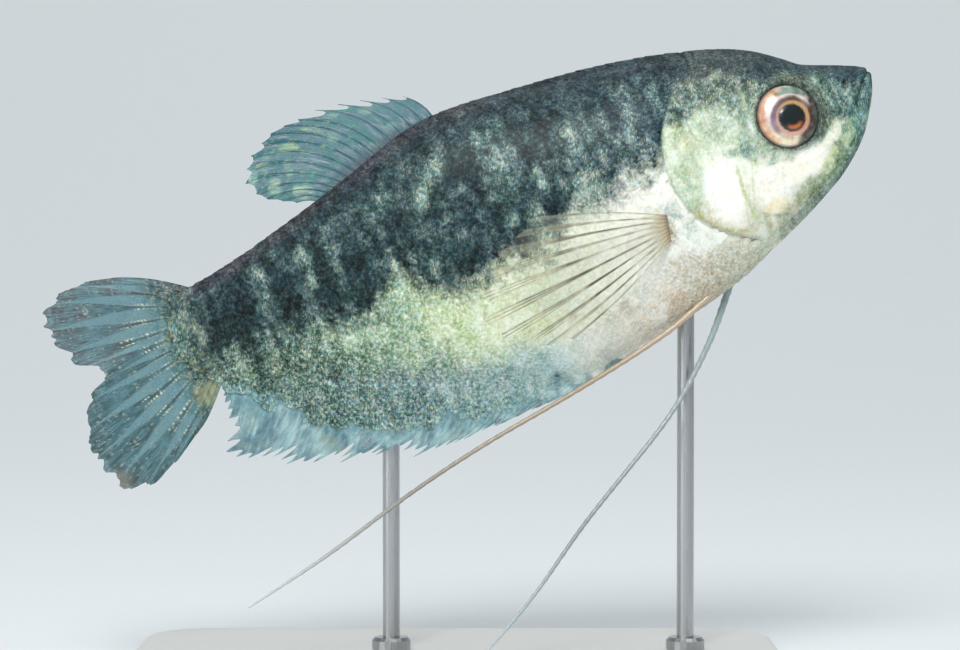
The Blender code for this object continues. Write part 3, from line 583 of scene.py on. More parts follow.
HEAD_MARKS = tuple(Blotch(*row) for row in (  # marks on the head, each with its colour at the end
    (18.0, 5.3, 9.0, 2.0, 4, 0.88, "#475a5c"), (24.5, 6.4, 3.8, 1.8, 0, 0.85, "#4a6062"),
    (25.4, 4.3, 2.2, 1.3, 0, 0.9, "#3e5356"), (14.8, 4.9, 2.4, 0.9, 0, 0.6, "#707c6a"),
    (26.0, 2.4, 1.7, 1.6, 0, 0.65, "#a8ad86"), (25.4, 0.6, 2.0, 0.9, 0, 0.6, "#c9c79c"),
    (17.4, 2.9, 2.8, 1.8, 0, 0.82, "#7a8c84"), (21.0, 1.8, 2.2, 1.6, 0, 0.8, "#a4b1a4"),
    (17.6, -0.6, 1.2, 2.4, 0, 0.65, "#8c9f98"), (27.2, -3.0, 1.4, 3.4, 0, 0.75, "#c4cfba"),
    # the near-white marks on the gill cover and cheek: silvery skin, painted as bright as a highlight on it
    (22.8, -6.2, 2.6, 4.9, 4, 0.95, "#faf8f2"), (23.2, -2.2, 1.2, 2.0, 12, 0.7, "#e3e8d6"),
    (20.5, -2.4, 1.0, 0.7, 0, 0.7, "#93aa9b"), (18.6, -3.0, 0.8, 1.5, 10, 0.9, "#7b9694"),
    (18.3, -5.0, 0.5, 1.1, 0, 0.8, "#c6cc8c"), (16.6, -7.6, 3.8, 3.0, -12, 0.95, "#faf7ee"),
    (11.6, -7.0, 3.6, 1.8, -22, 1.0, "#f9f6ea"), (7.4, -4.7, 2.2, 1.0, -38, 0.9, "#f2f3e2"),
    (19.9, -5.0, 1.4, 1.8, 0, 0.8, "#f3f6e8"), (17.6, -10.5, 1.8, 0.9, 10, 0.9, "#f0e6c0"),
    (15.0, -11.3, 1.8, 0.7, -24, 0.7, "#c9b6a2"), (18.6, -12.2, 1.6, 0.6, -24, 0.6, "#d3b9a2"),
    (12.6, -10.4, 2.8, 1.0, -28, 0.85, "#a9b490"), (9.0, -9.0, 2.6, 1.0, -36, 0.85, "#93a688"),
    (8.4, -7.4, 2.2, 0.8, -36, 0.85, "#d3d8a8"), (6.3, -6.9, 2.0, 0.9, -42, 0.85, "#8fa68c"),
    (5.4, -5.2, 1.9, 0.9, -44, 0.85, "#aabd9b"), (3.6, -4.6, 1.6, 0.8, -52, 0.8, "#86aaa2"),
    (3.0, -3.0, 1.5, 0.8, -50, 0.75, "#6f9793"), (6.9, -1.2, 1.1, 2.6, 12, 0.8, "#61736f"),
    (4.4, -1.6, 2.0, 1.6, -45, 0.85, "#657c78"), (3.6, 0.4, 1.8, 1.4, 30, 0.8, "#6c827f"),
    (15.9, -4.9, 1.0, 0.6, -40, 0.8, "#9db0a5"), (14.0, -12.6, 4.5, 1.0, -26, 0.75, "#87938d"),
    (21.2, -12.3, 0.7, 0.35, 0, 0.6, "#c8a46c"), (22.6, -11.9, 0.5, 0.4, 0, 0.6, "#bdb277"),
    (27.0, -8.1, 0.5, 0.4, 0, 0.6, "#bdb277"), (23.9, 0.2, 0.4, 0.3, 0, 0.6, "#c4bf80"),
))
FLANK_MARKS = tuple(Blotch(*row) for row in (  # the same on the flank
    (32.3, -2.8, 1.6, 3.4, -8, 1.0, "#f6f6ec"), (34.6, -4.6, 2.4, 1.2, 20, 0.9, "#f2f0e6"),
    (39.4, -2.7, 3.0, 1.2, 0, 0.7, "#aeb3ae"), (54.0, -12.5, 2.2, 1.6, 0, 0.8, "#eef4dc"),
    (46.0, -16.6, 3.0, 1.2, 6, 0.8, "#f0efdc"), (60.0, -15.0, 2.0, 1.0, 0, 0.7, "#d9e6d8"),
    (29.9, 3.4, 0.8, 3.0, -18, 0.85, "#cfdfd8"), (31.0, 0.4, 0.7, 1.4, 0, 0.8, "#e3ead8"),
    # (30.0, -6.2) and (28.6, -8.4): painted shade in the gill opening, under the edge of the gill cover
    (28.2, -10.6, 3.2, 1.4, 28, 0.9, "#eef2e8"), (30.0, -6.2, 0.9, 1.0, 0, 0.7, "#8fa3a8"),
    (28.6, -8.4, 0.9, 0.9, 0, 0.7, "#9db5ac"), (31.3, -8.2, 0.6, 2.2, -10, 0.75, "#8a6f52"),
    (36.0, -18.4, 1.1, 0.9, 0, 0.85, "#fdfcf4"), (30.5, -13.6, 3.0, 1.6, 20, 0.6, "#b7a894"),
    (31.0, -17.4, 3.0, 0.8, 10, 0.6, "#c9a68c"), (40.5, -15.8, 3.0, 0.8, 6, 0.55, "#b59d86"),
    (45.6, -15.4, 1.4, 0.5, 8, 0.5, "#a98a70"), (45.5, -17.6, 1.5, 1.0, 0, 0.6, "#d5d3dc"),
    (50.5, -14.4, 3.0, 1.0, 0, 0.6, "#d3d79c"), (52.4, -4.8, 1.4, 0.6, 10, 0.6, "#c3cfa6"),
    (57.7, -18.8, 0.8, 0.7, 0, 0.6, "#a5abbd"), (61.8, -9.0, 2.4, 1.9, 0, 0.7, "#d9e2bc"),
    (66.8, -12.6, 1.4, 1.5, 0, 0.55, "#bccaa6"), (65.2, -15.4, 1.9, 0.9, 0, 0.5, "#a9b9c4"),
    (70.5, -13.2, 2.4, 1.0, 0, 0.5, "#93a3ac"), (75.5, -12.4, 2.0, 0.9, 10, 0.6, "#8795a3"),
    (73.8, -7.4, 1.6, 1.7, 0, 0.85, "#bfd4bc"), (70.6, -7.6, 2.0, 1.2, 0, 0.85, "#c6dcc3"),
    (75.8, -5.4, 0.8, 1.3, 0, 0.7, "#b3c09c"), (83.6, -6.6, 0.8, 1.7, 0, 0.6, "#93a288"),
    (81.2, -9.2, 1.1, 1.3, 0, 0.5, "#7f9078"), (79.8, -5.8, 1.0, 1.3, 0, 0.6, "#8ba39c"),
    (87.6, -6.4, 0.7, 1.3, 0, 0.7, "#a5b9a0"), (89.6, -5.8, 0.9, 1.1, 0, 0.5, "#748068"),
    (91.2, -6.4, 0.9, 0.9, 0, 0.5, "#848a74"), (78.0, -9.0, 1.4, 2.2, 0, 0.6, "#4d6058"),
    (85.6, -8.4, 1.3, 2.2, 0, 0.6, "#43564f"), (82.0, -12.6, 2.6, 1.2, 12, 0.5, "#5a6660"),
    (76.5, -15.4, 3.4, 0.9, 10, 0.55, "#5e7078"), (72.5, -9.8, 1.6, 1.4, 0, 0.45, "#76876f"),
))
GOLD_MARKS = tuple(Blotch(*row) for row in (  # and at the end of the tail stalk
    (93.0, 3.6, 1.0, 3.0, 0, 0.5, "#566a66"), (92.6, -3.6, 1.3, 1.6, 0, 0.5, "#64786c"),
    (93.4, -6.9, 2.0, 1.6, -30, 0.75, "#8b8f6a"), (92.2, 0.8, 0.7, 1.4, 0, 0.6, "#7d9088"),
    (94.4, 7.0, 1.6, 1.0, -35, 0.6, "#4c5c60"), (95.0, 0.6, 1.2, 2.8, 0, 0.6, "#5f8486"),
))
HEAD_STREAKS = tuple(Streak(*row) for row in (  # line, width, colour and strength
    (((20.6, -4.0), (20.9, -7.0), (20.7, -10.0), (20.3, -11.4)), 0.26, "#b3bb84", 0.9),
    (((18.2, -2.6), (18.9, -5.2), (19.7, -7.8), (20.4, -10.2)), 0.14, "#aebb94", 0.7),
    (((27.8, -7.4), (26.2, -9.8), (24.0, -11.4), (21.4, -12.3)), 0.3, "#b1b477", 0.8),
    # painted shade: a dark line along the rear edge of the gill cover, where it overhangs the flank
    (((28.9, 0.6), (29.3, -2.2), (28.8, -5.2), (28.0, -7.6)), 0.16, "#5f7878", 0.7),
    (((24.6, 3.8), (24.5, 2.0), (23.9, 0.4)), 0.16, "#7f9086", 0.6),
    (((21.0, 3.0), (20.0, 2.2), (19.0, 1.6)), 0.12, "#e6efe6", 0.8),
    (((16.6, 4.2), (16.9, 2.6), (16.4, 1.4)), 0.22, "#c6c894", 0.6),
    (((17.2, -2.4), (17.8, -3.6), (18.4, -4.8)), 0.16, "#76908c", 0.7),
    (((0.0, 1.9), (1.2, 0.9), (2.2, -0.4), (3.2, -1.7)), 0.42, "#2c4650", 0.65),
    (((0.0, -0.6), (0.7, -1.9), (1.8, -3.7), (3.2, -5.7)), 0.2, "#e3e6bc", 0.7),
    (((7.6, -2.6), (6.4, -3.4), (5.0, -3.8)), 0.3, "#c6cfae", 0.6),
))


@dataclass(frozen=True)
class Wander:
    """Points of the side view, with the noise that makes their markings wander and break up."""

    s: Array
    h: Array
    coarse: tuple  # noise along s and along h
    fine: tuple
    streak: Array  # strokes that run up and down the flank

    def moved(self, along: float, up: float, fine: float) -> tuple[Array, Array]:
        """Moves the points by so many mm of the coarse noise along s and up h, and of the fine noise."""
        axes = zip((self.s, self.h), (along, up), self.coarse, self.fine)
        return tuple(at + coarse * far + fine * near for at, coarse, far, near in axes)


class Markings:
    """The fish's colours over the side view, shared by its skin, its scales and the scaled base of each fin."""

    DARK_LOWER = (
        (30, -1.2), (36, -1.6), (42, -3.2), (45, -5.0), (49, -5.8), (53, -5.4), (55.5, -6.6), (57.5, -7.3), (60, -6.5),
        (63, -4.5), (65.5, -1.5), (67.5, -4.2), (70, -5.2), (72, -5.5), (76, -4.0), (80, -4.2), (85, -4.5),
        (90, -4.0), (97, -3.0),
    )
    HEAD_TOP = ((0, 0.6), (3, 0.4), (5, 1.4), (8, 2.6), (12, 4.4), (15, 5.6), (20, 7.2), (26, 7.8), (31, 8.2))
    BAND = ((15, 3.0), (30, 3.4), (45, 3.2), (58, 3.6), (62, 3.4), (75, 1.7), (96, 1.2))
    DEPTH = (
        (28, 0.42), (36, 0.44), (44, 0.41), (52, 0.37), (62, 0.36), (69, 0.3), (74, 0.23), (80, 0.23), (86, 0.17),
        (93, 0.36),
    )
    RAMP = (
        (0.0, "#0e2026"), (0.2, "#193038"), (0.36, "#2a434a"), (0.5, "#3f575d"), (0.66, "#607879"), (0.82, "#90a39e"),
        (1.0, "#c9d8c8"),
    )
    LOWER = (
        (28, "#f0f1e8"), (36, "#f2f3ea"), (44, "#e9edda"), (50, "#dde3c9"), (55, "#dfe7ca"), (60, "#cfdcba"),
        (66, "#a5bba4"), (72, "#8ba698"), (80, "#5b766d"), (88, "#4f6a63"), (96, "#425c5b"),
    )
    BELLY = (
        (4, "#4c7078"), (9, "#658385"), (14, "#a9b3a2"), (20, "#d3d6c2"), (28, "#c8bfae"), (34, "#d8cbba"),
        (40, "#e8e2d6"), (46, "#eef0e6"), (50, "#cbe2e3"), (55, "#9ebcc0"), (62, "#829fa4"), (70, "#6f8b8e"),
        (80, "#64807e"), (96, "#4f6b6a"),
    )
    CHEEK = (
        (0, "#3a5a63"), (4, "#55787a"), (8, "#768f87"), (12, "#8fa093"), (16, "#b3c0ae"), (21, "#bfccb8"),
        (30, "#bccbb2"),
    )
    WARP = (1.6, 2.6, 1.3)  # how far the borders between the colours wander, in mm
    MARK_WARP = (0.9, 2.0, 0.8)  # the same for the flank's pale and dark patches
    HEAD_WARP = (0.8, 0.8, 0.5)
    STREAK_WARP = (0.0, 0.0, 0.3)
    CHEEK_SHINE = 0.28

    def __init__(self, side: Side) -> None:
        """Draws the mottling, which differs between the flanks."""
        self.coarse, self.fine, self.speck = (Grain(seed + side.value) for seed in (11, 23, 37))
        self.form = BodyForm()

    def run(self, knots: tuple, s: Array) -> Array:
        """Blends colours given by s."""
        places, colours = [k[0] for k in knots], np.array([linear(k[1]) for k in knots])
        return np.stack([np.interp(s, places, channel) for channel in colours.T], axis=-1)

    def add(self, marks: tuple, colour: Array, silver: Array, s: Array, h: Array, shine: float = 0.0) -> tuple:
        """Lays markings over a colour, and makes the skin under them more or less silvery.

        Args:
            marks: the markings, lowest first.
            colour, silver: the colour and silver share of each point.
            s, h: where each point reads the markings.
            shine: how much silver a full marking adds.

        Returns:
            The new colour and silver share.
        """
        broken = 0.2 + 1.5 * self.fine.layered(s / 0.33 + 5, h / 0.45)
        for mark in marks:
            mask = mark.mask(s, h) * np.clip(mark.strength**2 + broken, 0.0, 1.0)
            colour, silver = over(colour, (mark.colour, mask)), silver + shine * mask
        return colour, silver

    def flank(self, w: Wander) -> tuple[Array, Array, Array]:
        """Paints the flank: pale below, mottled slate above, a dark band along the back and gold at the tail.

        Args:
            w: the points.

        Returns:
            Their colour, their silver share, and how far down the pale part they lie, from 0 to 1.
        """
        s, h, streak = w.s, w.h, w.streak
        ws, wh = w.moved(*self.WARP)
        back, belly = through(self.form.back, s), through(self.form.belly, s)
        dark_line = read(self.DARK_LOWER, ws) + 2.6 * streak
        low = np.clip((dark_line - wh) / np.maximum(dark_line - belly, 1.0), 0.0, 1.0)
        colour = over(self.run(self.LOWER, ws), (self.run(self.BELLY, ws), ease(low, 0.5, 0.9)))
        colour, silver = self.add(FLANK_MARKS, colour, 0.6 + 0.25 * ease(s, 50.0, 64.0), ws, wh, 0.1)
        colour = np.clip(colour, 0.0, 1.0) ** (1.0 - 1.1 * streak * ease(s, 38.0, 58.0))[..., None]
        # the slate part is read from a ramp, which the dark and pale patches move down and up
        depth = read(self.DEPTH, ws) + 0.95 * streak + 0.3 * w.fine[1]
        spots = w.moved(*self.MARK_WARP)
        for marks, strength in ((DARK_MARKS, -0.27), (PALE_MARKS, 0.33)):
            depth = depth + strength * sum(mark.mask(*spots) for mark in marks)
        tint = self.speck.layered(s / 2.2 + 9, h / 2.2)[..., None] * np.array([0.25, -0.05, 0.2])
        lilac = ease(44.0 - s, 0.0, 14.0)[..., None] * np.array([0.06, 0.0, 0.08])
        upper = self.run(self.RAMP, depth) * (1.0 + tint + lilac)
        dark = ease(wh - dark_line + 5.0 * self.fine.layered(s / 0.3, h / 0.5 + 7), -2.6, 2.2)
        silver = (silver + 0.15) * (1 - dark) + np.clip(depth - 0.12, 0.14, 0.55) * dark
        band = ease(wh - (back - read(self.BAND, s)), -1.3, 1.5)
        ridge = ease(h - back, -2.2, -0.4) * ease(s, 40.0, 56.0)
        gold = ease(ws + 2.0 * streak, 90.0, 94.5)
        colour = over(
            colour,
            (upper, dark),
            (over("#2e3e49", ("#172530", 0.5 + 1.3 * streak)), 0.92 * band),
            ("#4a4450", (0.5 + 1.2 * streak) * ridge),
            ("#35585a", 0.65 * gold),
        )
        colour, silver = self.add(GOLD_MARKS, colour, silver * (1 - 0.9 * band), ws, wh, 0.05)
        fleck = ease(self.fine.layered(s / 0.22, h / 0.22), 0.04, 0.16) * gold
        return over(colour, ("#b9b592", 0.4 * fleck)), silver, low

    def head(self, w: Wander) -> tuple[Array, Array]:
        """Paints the head: a grey-green cheek with white marks, partly a painted highlight, and yellow-green marks
        under a slate crown.

        Args:
            w: the points.

        Returns:
            Their colour and their silver share.
        """
        s, h, streak = w.s, w.h, w.streak
        ws, wh = w.moved(*self.WARP)
        cheek = over(self.run(self.CHEEK, ws), (self.run(self.BELLY, ws), ease(-8.0 - wh + 0.1 * s, 0.0, 3.5)))
        silver = np.full(s.shape, self.CHEEK_SHINE)
        cheek, silver = self.add(HEAD_MARKS, cheek, silver, *w.moved(*self.HEAD_WARP))
        cheek = np.clip(cheek, 0.0, 1.0) ** (1.0 - w.fine[0] - 0.7 * streak)[..., None]
        top = ease(wh - read(self.HEAD_TOP, ws), -1.0, 1.4)
        orbit = np.hypot(s - EYE_AT[0], h - EYE_AT[1])
        ahead = ease(EYE_AT[0] - s + 0.35 * (h - EYE_AT[1]), -0.6, 3.0)
        cheek = over(
            cheek,
            (over("#2e3f4a", ("#24313e", ease(h + 5 * streak, 4.0, 10.0))), 0.95 * top),
            ("#3f4d50", 0.8 * bell(orbit - 4.25, 0.3)),
            ("#566059", 0.85 * ahead * ease(1.0 - np.abs(orbit - 4.7), 0.0, 0.6)),
        )
        return self.add(HEAD_STREAKS, cheek, silver * (1 - 0.8 * top), *w.moved(*self.STREAK_WARP))

    def paint(self, s: Array, h: Array) -> tuple[Array, Array]:
        """Colours points of the side view.

        Args:
            s, h: the points.

        Returns:
            Linear colour for each point, and how silvery it is from 0 to 1.
        """
        coarse = self.coarse.layered(s / 2.6, h / 2.6), self.coarse.layered(s / 2.6 + 31, h / 2.6 + 17)
        fine = self.fine.layered(s / 0.8, h / 0.8), self.fine.layered(s / 0.8 + 13, h / 0.8 + 29)
        streak = self.coarse.layered((s + 0.04 * h) / 0.75 + 3, h / 3.6) + 0.4 * self.speck.layered(s / 1.2, h / 2.4)
        wander = Wander(s, h, coarse, fine, streak)
        colour, silver, low = self.flank(wander)
        cheek, shine = self.head(wander)
        head = ease(-behind_gill(s, h) / (0.15 + 3.0 * ease(h, 6.0, 11.0)), -1.0, 1.0)
        hem = ease(2.0 - FinBase.above(s, h) + 3.0 * streak, 0.0, 2.6) * ease(s, 40.0, 50.0) * ease(93.0 - s, 0.0, 2.5)
        colour = over(colour, (cheek, head), ("#769ba2", hem))
        silver = (silver * (1 - head) + shine * head) * (1 - 0.8 * hem)
        mottle = 1.0 - (0.9 - 0.45 * np.maximum(head, 0.6 * low)) * self.fine.layered(s / 0.5, h / 0.9)
        return np.clip(colour, 0.0, 1.0) ** mottle[..., None], np.clip(silver, 0.0, 1.0)


def plug(made: bpy.types.Node, inputs: dict | tuple) -> None:
    """Links or sets a node's inputs.

    Args:
        made: the node.
        inputs: by name or in order, what goes in: a socket, a node for its first output, or a value.
    """
    for key, value in inputs.items() if isinstance(inputs, dict) else enumerate(inputs):
        source = value.outputs[0] if isinstance(value, bpy.types.Node) else value
        if isinstance(source, bpy.types.NodeSocket):
            made.id_data.links.new(source, made.inputs[key])
        else:
            made.inputs[key].default_value = source


def node(tree: bpy.types.NodeTree, kind: str, inputs: dict | tuple = (), **settings: object) -> bpy.types.Node:
    """Adds a node with its settings, and links or sets its inputs.

    Args:
        tree: the node tree.
        kind: the node's type.
        inputs: what goes into it, as in plug.
        settings: the node's own settings.

    Returns:
        The node.
    """
    made = tree.nodes.new(kind)
    for key, value in settings.items():
        setattr(made, key, value)
    plug(made, inputs)
    return made


@dataclass(frozen=True)
class Finish:
    """A surface finish, which builds its material once."""

    name: str
    roughness: float
    coat: float = 0.0
    coat_roughness: float = 0.1
    ior: float = 1.45
    metallic: float = 0.0

    def start(self) -> tuple[bpy.types.Material, bpy.types.NodeTree, bpy.types.Node]:
        """Starts the material with its shader's own values set.

        Returns:
            The material, its node tree and its shader.
        """
        made = bpy.data.materials.new(self.name)
        made.use_nodes = True
        shader = made.node_tree.nodes["Principled BSDF"]
        plug(shader, {
            "Roughness": self.roughness, "Coat Weight": self.coat, "Coat Roughness": self.coat_roughness,
            "IOR": self.ior, "Metallic": self.metallic,
        })
        return made, made.node_tree, shader

    def noise(self, tree: bpy.types.NodeTree, size_mm: float, detail: float = 2.0, **more: object) -> bpy.types.Node:
        """Adds noise in object coordinates.

        Args:
            tree: the material's node tree.
            size_mm: how wide its lumps are.
            detail: how many finer layers it has.
            more: its other inputs, by name.

        Returns:
            The noise's node.
        """
        where = node(tree, "ShaderNodeTexCoord").outputs["Object"]
        scale = 1.0 / (size_mm * MM)
        return node(tree, "ShaderNodeTexNoise", {"Vector": where, "Scale": scale, "Detail": detail, **more})

    def bump(self, shader: bpy.types.Node, size_mm: float, detail: float, depth_mm: float) -> None:
        """Bumps the shader by noise.

        Args:
            shader: the shader.
            size_mm: how wide the lumps are.
            detail: how many finer layers they have.
            depth_mm: how high their full range is.
        """
        height = self.noise(shader.id_data, size_mm, detail)
        bump = {"Height": height, "Distance": depth_mm * MM, "Strength": 1.0}
        plug(shader, {"Normal": node(shader.id_data, "ShaderNodeBump", bump)})

    def tone(self, shader: bpy.types.Node, colour: object, pattern: bpy.types.Node, low: float, high: float) -> None:
        """Gives the shader a colour that a pattern darkens and lightens.

        Args:
            shader: the shader.
            colour: a node or a linear colour.
            pattern: the pattern's node.
            low, high: what the pattern's ends multiply the colour by.
        """
        tree = shader.id_data
        share = node(tree, "ShaderNodeMapRange", (pattern, 0.0, 1.0, low, high))
        plug(shader, {"Base Color": node(tree, "ShaderNodeVectorMath", (colour, share), operation="MULTIPLY")})


@dataclass(frozen=True)
class WetHide(Finish):
    """Fish skin and scales backed by guanine crystals: a wet gloss, painted tinted glints and silvery patches."""

    speck_mm: float = 0.42
    grain: float = 0.5
    bump_mm: float = 0.02
    bump_size_mm: float = 0.2
    tint_mm: float = 0.4
    # how strongly the painted glints lift the colour
    glint: float = 0.45
    glint_mm: float = 0.26
    glint_stretch: tuple = (1.4, 1.4, 0.5)  # glints stand taller than they are wide

    def material(self) -> bpy.types.Material:
        """Builds the material: painted markings, specks, iridescent tints, glints painted as highlights, silver and a
        wet coat.

        Returns:
            The material.
        """
        made, tree, shader = self.start()
        paint = node(tree, "ShaderNodeAttribute", attribute_name="Markings")
        silver = node(tree, "ShaderNodeAttribute", attribute_name="Silver").outputs["Fac"]
        light = node(tree, "ShaderNodeRGBToBW", (paint,))
        # specks deepen and lighten the paint, the more so where the skin is silvery
        speck = self.noise(tree, self.speck_mm, 4.0, Roughness=0.72)
        swing = node(tree, "ShaderNodeMapRange", (speck, 0.34, 0.66, 0.5, -0.5))
        depth = node(tree, "ShaderNodeMath", (silver, self.grain), operation="ADD")
        power = node(tree, "ShaderNodeMath", (swing, depth, 1.0), operation="MULTIPLY_ADD")
        toned = node(tree, "ShaderNodeGamma", (paint, power))
        # iridescent tints from blue through green and yellow to lilac, strongest on the darker paint
        split = node(tree, "ShaderNodeSeparateColor", (self.noise(tree, self.tint_mm, 1.0).outputs["Color"],))
        hue = node(tree, "ShaderNodeMapRange", (split.outputs["Green"], 0.3, 0.7))
        tints = node(tree, "ShaderNodeValToRGB", (hue,))
        stops = tints.color_ramp.elements
        for place, code in ((0.3, "#c6f8ec"), (0.48, "#f8ffca"), (0.7, "#ffeecb")):
            stops.new(place).color = (*linear(code), 1.0)
        stops[0].color, stops[-1].color = (*linear("#bcdcff"), 1.0), (*linear("#ecdaff"), 1.0)
        tinted = node(tree, "ShaderNodeMapRange", (light, 0.2, 0.75, 0.55, 0.05))
        base = node(
            tree, "ShaderNodeMix", {"Factor": tinted, "A": toned, "B": tints}, data_type="RGBA",
            blend_type="MULTIPLY", clamp_result=True,
        )
        # painted highlights: glints of the tints' colour mixed into the base colour, on all but the darkest paint
        where = node(tree, "ShaderNodeTexCoord").outputs["Object"]
        upright = node(tree, "ShaderNodeVectorMath", (where, self.glint_stretch), operation="MULTIPLY")
        scale = 1.0 / (self.glint_mm * MM)
        spark = node(tree, "ShaderNodeTexNoise", {"Vector": upright, "Scale": scale, "Detail": 1.0})
        glint = node(tree, "ShaderNodeMapRange", (spark, 0.54, 0.74, 0.0, self.glint))
        lit = node(tree, "ShaderNodeMapRange", (light, 0.035, 0.18, 0.05, 1.0))
        share = node(tree, "ShaderNodeMath", (lit, glint), operation="MULTIPLY")
        glinting = {"Factor": share, "A": base.outputs["Result"], "B": tints}
        plug(shader, {
            "Base Color": node(tree, "ShaderNodeMix", glinting, data_type="RGBA").outputs["Result"],
            "Metallic": node(tree, "ShaderNodeMath", (silver, 0.25), operation="MULTIPLY"),
            "Roughness": node(
                tree, "ShaderNodeMapRange",
                (split.outputs["Red"], 0.0, 1.0, self.roughness - 0.12, self.roughness + 0.14),
            ),
        })
        self.bump(shader, self.bump_size_mm, 3.0, self.bump_mm)
        return made


@dataclass(frozen=True)
class Painted(Finish):
    """Thin wet skin over rays: its colour, and its see-through share where it has one, are painted on the mesh."""

    see_through: bool = False
    bump_mm: float = 0.012
    bump_size_mm: float = 0.12

    def material(self) -> bpy.types.Material:
        """Builds the material from the mesh's own colour, with a fine grain that breaks up its gloss.

        Returns:
            The material.
        """
        made, tree, shader = self.start()
        self.tone(
            shader, node(tree, "ShaderNodeAttribute", attribute_name="Markings"), self.noise(tree, 0.3, 3.0), 0.8, 1.2
        )
        if self.see_through:
            plug(shader, {"Alpha": node(tree, "ShaderNodeAttribute", attribute_name="Cover").outputs["Fac"]})
        self.bump(shader, self.bump_size_mm, 2.0, self.bump_mm)
        return made


@dataclass(frozen=True)
class Eyeball(Finish):
    """Cornea over a metallic iris: a sharp wet highlight, with fine threads in the iris."""

    def material(self) -> bpy.types.Material:
        """Builds the material from the painted iris.

        Returns:
            The material.
        """
        made, tree, shader = self.start()
        silver = node(tree, "ShaderNodeAttribute", attribute_name="Silver").outputs["Fac"]
        self.tone(
            shader, node(tree, "ShaderNodeAttribute", attribute_name="Markings"), self.noise(tree, 0.18, 4.0), 0.7, 1.3
        )
        plug(shader, {"Metallic": node(tree, "ShaderNodeMath", (silver, 0.5), operation="MULTIPLY")})
        return made


@dataclass(frozen=True)
class Lacquer(Finish):
    """Sprayed satin lacquer on a small board: pale grey with a faint orange peel and dust-fine fleck."""

    colour: str = "#c9cac6"

    def material(self) -> bpy.types.Material:
        """Builds the material with peel at 1.6 mm and a fleck at 0.25 mm.

        Returns:
            The material.
        """
        made, tree, shader = self.start()
        self.tone(shader, linear(self.colour), self.noise(tree, 0.25, 3.0), 0.94, 1.05)
        self.bump(shader, 1.6, 1.0, 0.02)
        return made


@dataclass(frozen=True)
class DrawnSteel(Finish):
    """Drawn stainless steel rod: fine lines along its length that spread the highlight."""

    colour: str = "#b9bbbd"
    line_mm: float = 0.15
    stretch: float = 0.03  # how much slower the lines change along z

    def material(self) -> bpy.types.Material:
        """Builds the material with draw lines stretched along z.

        Returns:
            The material.
        """
        made, tree, shader = self.start()
        where = node(tree, "ShaderNodeTexCoord").outputs["Object"]
        drawn = node(tree, "ShaderNodeMapping", {"Vector": where, "Scale": (1.0, 1.0, self.stretch)})
        scale = 1.0 / (self.line_mm * MM)
        lines = node(tree, "ShaderNodeTexNoise", {"Vector": drawn, "Scale": scale, "Detail": 3.0})
        self.tone(shader, linear(self.colour), lines, 0.85, 1.1)
        plug(shader, {"Roughness": node(tree, "ShaderNodeMapRange", (lines, 0.0, 1.0, 0.2, 0.4))})
        return made


@dataclass(frozen=True)
class Paper(Finish):
    """Matt studio paper: no gloss, and a tooth so faint that the floor reads as one pale tone."""

    colour: str = "#dfe5e8"

    def material(self) -> bpy.types.Material:
        """Builds the material with a fibre of 2.5 mm.

        Returns:
            The material.
        """
        made, tree, shader = self.start()
        self.tone(shader, linear(self.colour), self.noise(tree, 2.5, 3.0), 0.985, 1.015)
        return made


def show(name: str, data: bpy.types.ID) -> bpy.types.Object:
    """Puts a mesh, lamp or camera into the scene.

    Args:
        name: the object's name.
        data: what it shows.

    Returns:
        The object, at the origin.
    """
    made = bpy.data.objects.new(name, data)
    bpy.context.scene.collection.objects.link(made)
    return made


def mesh_piece(
    name: str, points: Array, faces: Array | list, material: bpy.types.Material, colour: Array,
    crease: float = 180.0, **values: Array,
) -> bpy.types.Object:
    """Makes a smooth-shaded object at the origin.

    Args:
        name: the piece's name.
        points: its vertices as (s, h, y) in mm.
        faces: vertex numbers for each face.
        material: its material.
        colour: a linear colour for each vertex.
        crease: the angle in degrees past which an edge is shaded sharp.
        values: more numbers for each vertex, by attribute name.

    Returns:
        The object.
    """
    mesh = bpy.data.meshes.new(name)
    mesh.from_pydata(to_world(points).tolist(), [], faces.tolist() if isinstance(faces, np.ndarray) else faces)
    rgba = np.concatenate([colour, np.ones((len(colour), 1))], axis=1).astype(np.float32)
    mesh.attributes.new("Markings", "FLOAT_COLOR", "POINT").data.foreach_set("color", rgba.ravel())
    for key, value in values.items():
        mesh.attributes.new(key, "FLOAT", "POINT").data.foreach_set("value", np.asarray(value, np.float32).ravel())
    mesh.materials.append(material)
    mesh.shade_smooth()
    mesh.set_sharp_from_angle(angle=math.radians(crease))
    return show(name, mesh)


def point_uv(piece: bpy.types.Object, name: str, uv: Array) -> None:
    """Gives a piece a UV map.

    Args:
        piece: the piece.
        name: the map's name.
        uv: a pair of numbers for each vertex.
    """
    mesh = piece.data
    corner = np.zeros(len(mesh.loops), np.int32)
    mesh.loops.foreach_get("vertex_index", corner)
    mesh.uv_layers.new(name=name).data.foreach_set("uv", uv[corner].astype(np.float32).ravel())


def enter(piece: bpy.types.Object, slot: Slot, *nodes: str) -> None:
    """Says how a piece belongs to the part.

    Args:
        piece: the piece.
        slot: its finish's slot; not used.
        nodes: the solids it stands for.
    """
    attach(piece, "root")
    if nodes:
        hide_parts(*nodes)
    LOG.info("%s: %d faces", piece.name, len(piece.data.polygons))


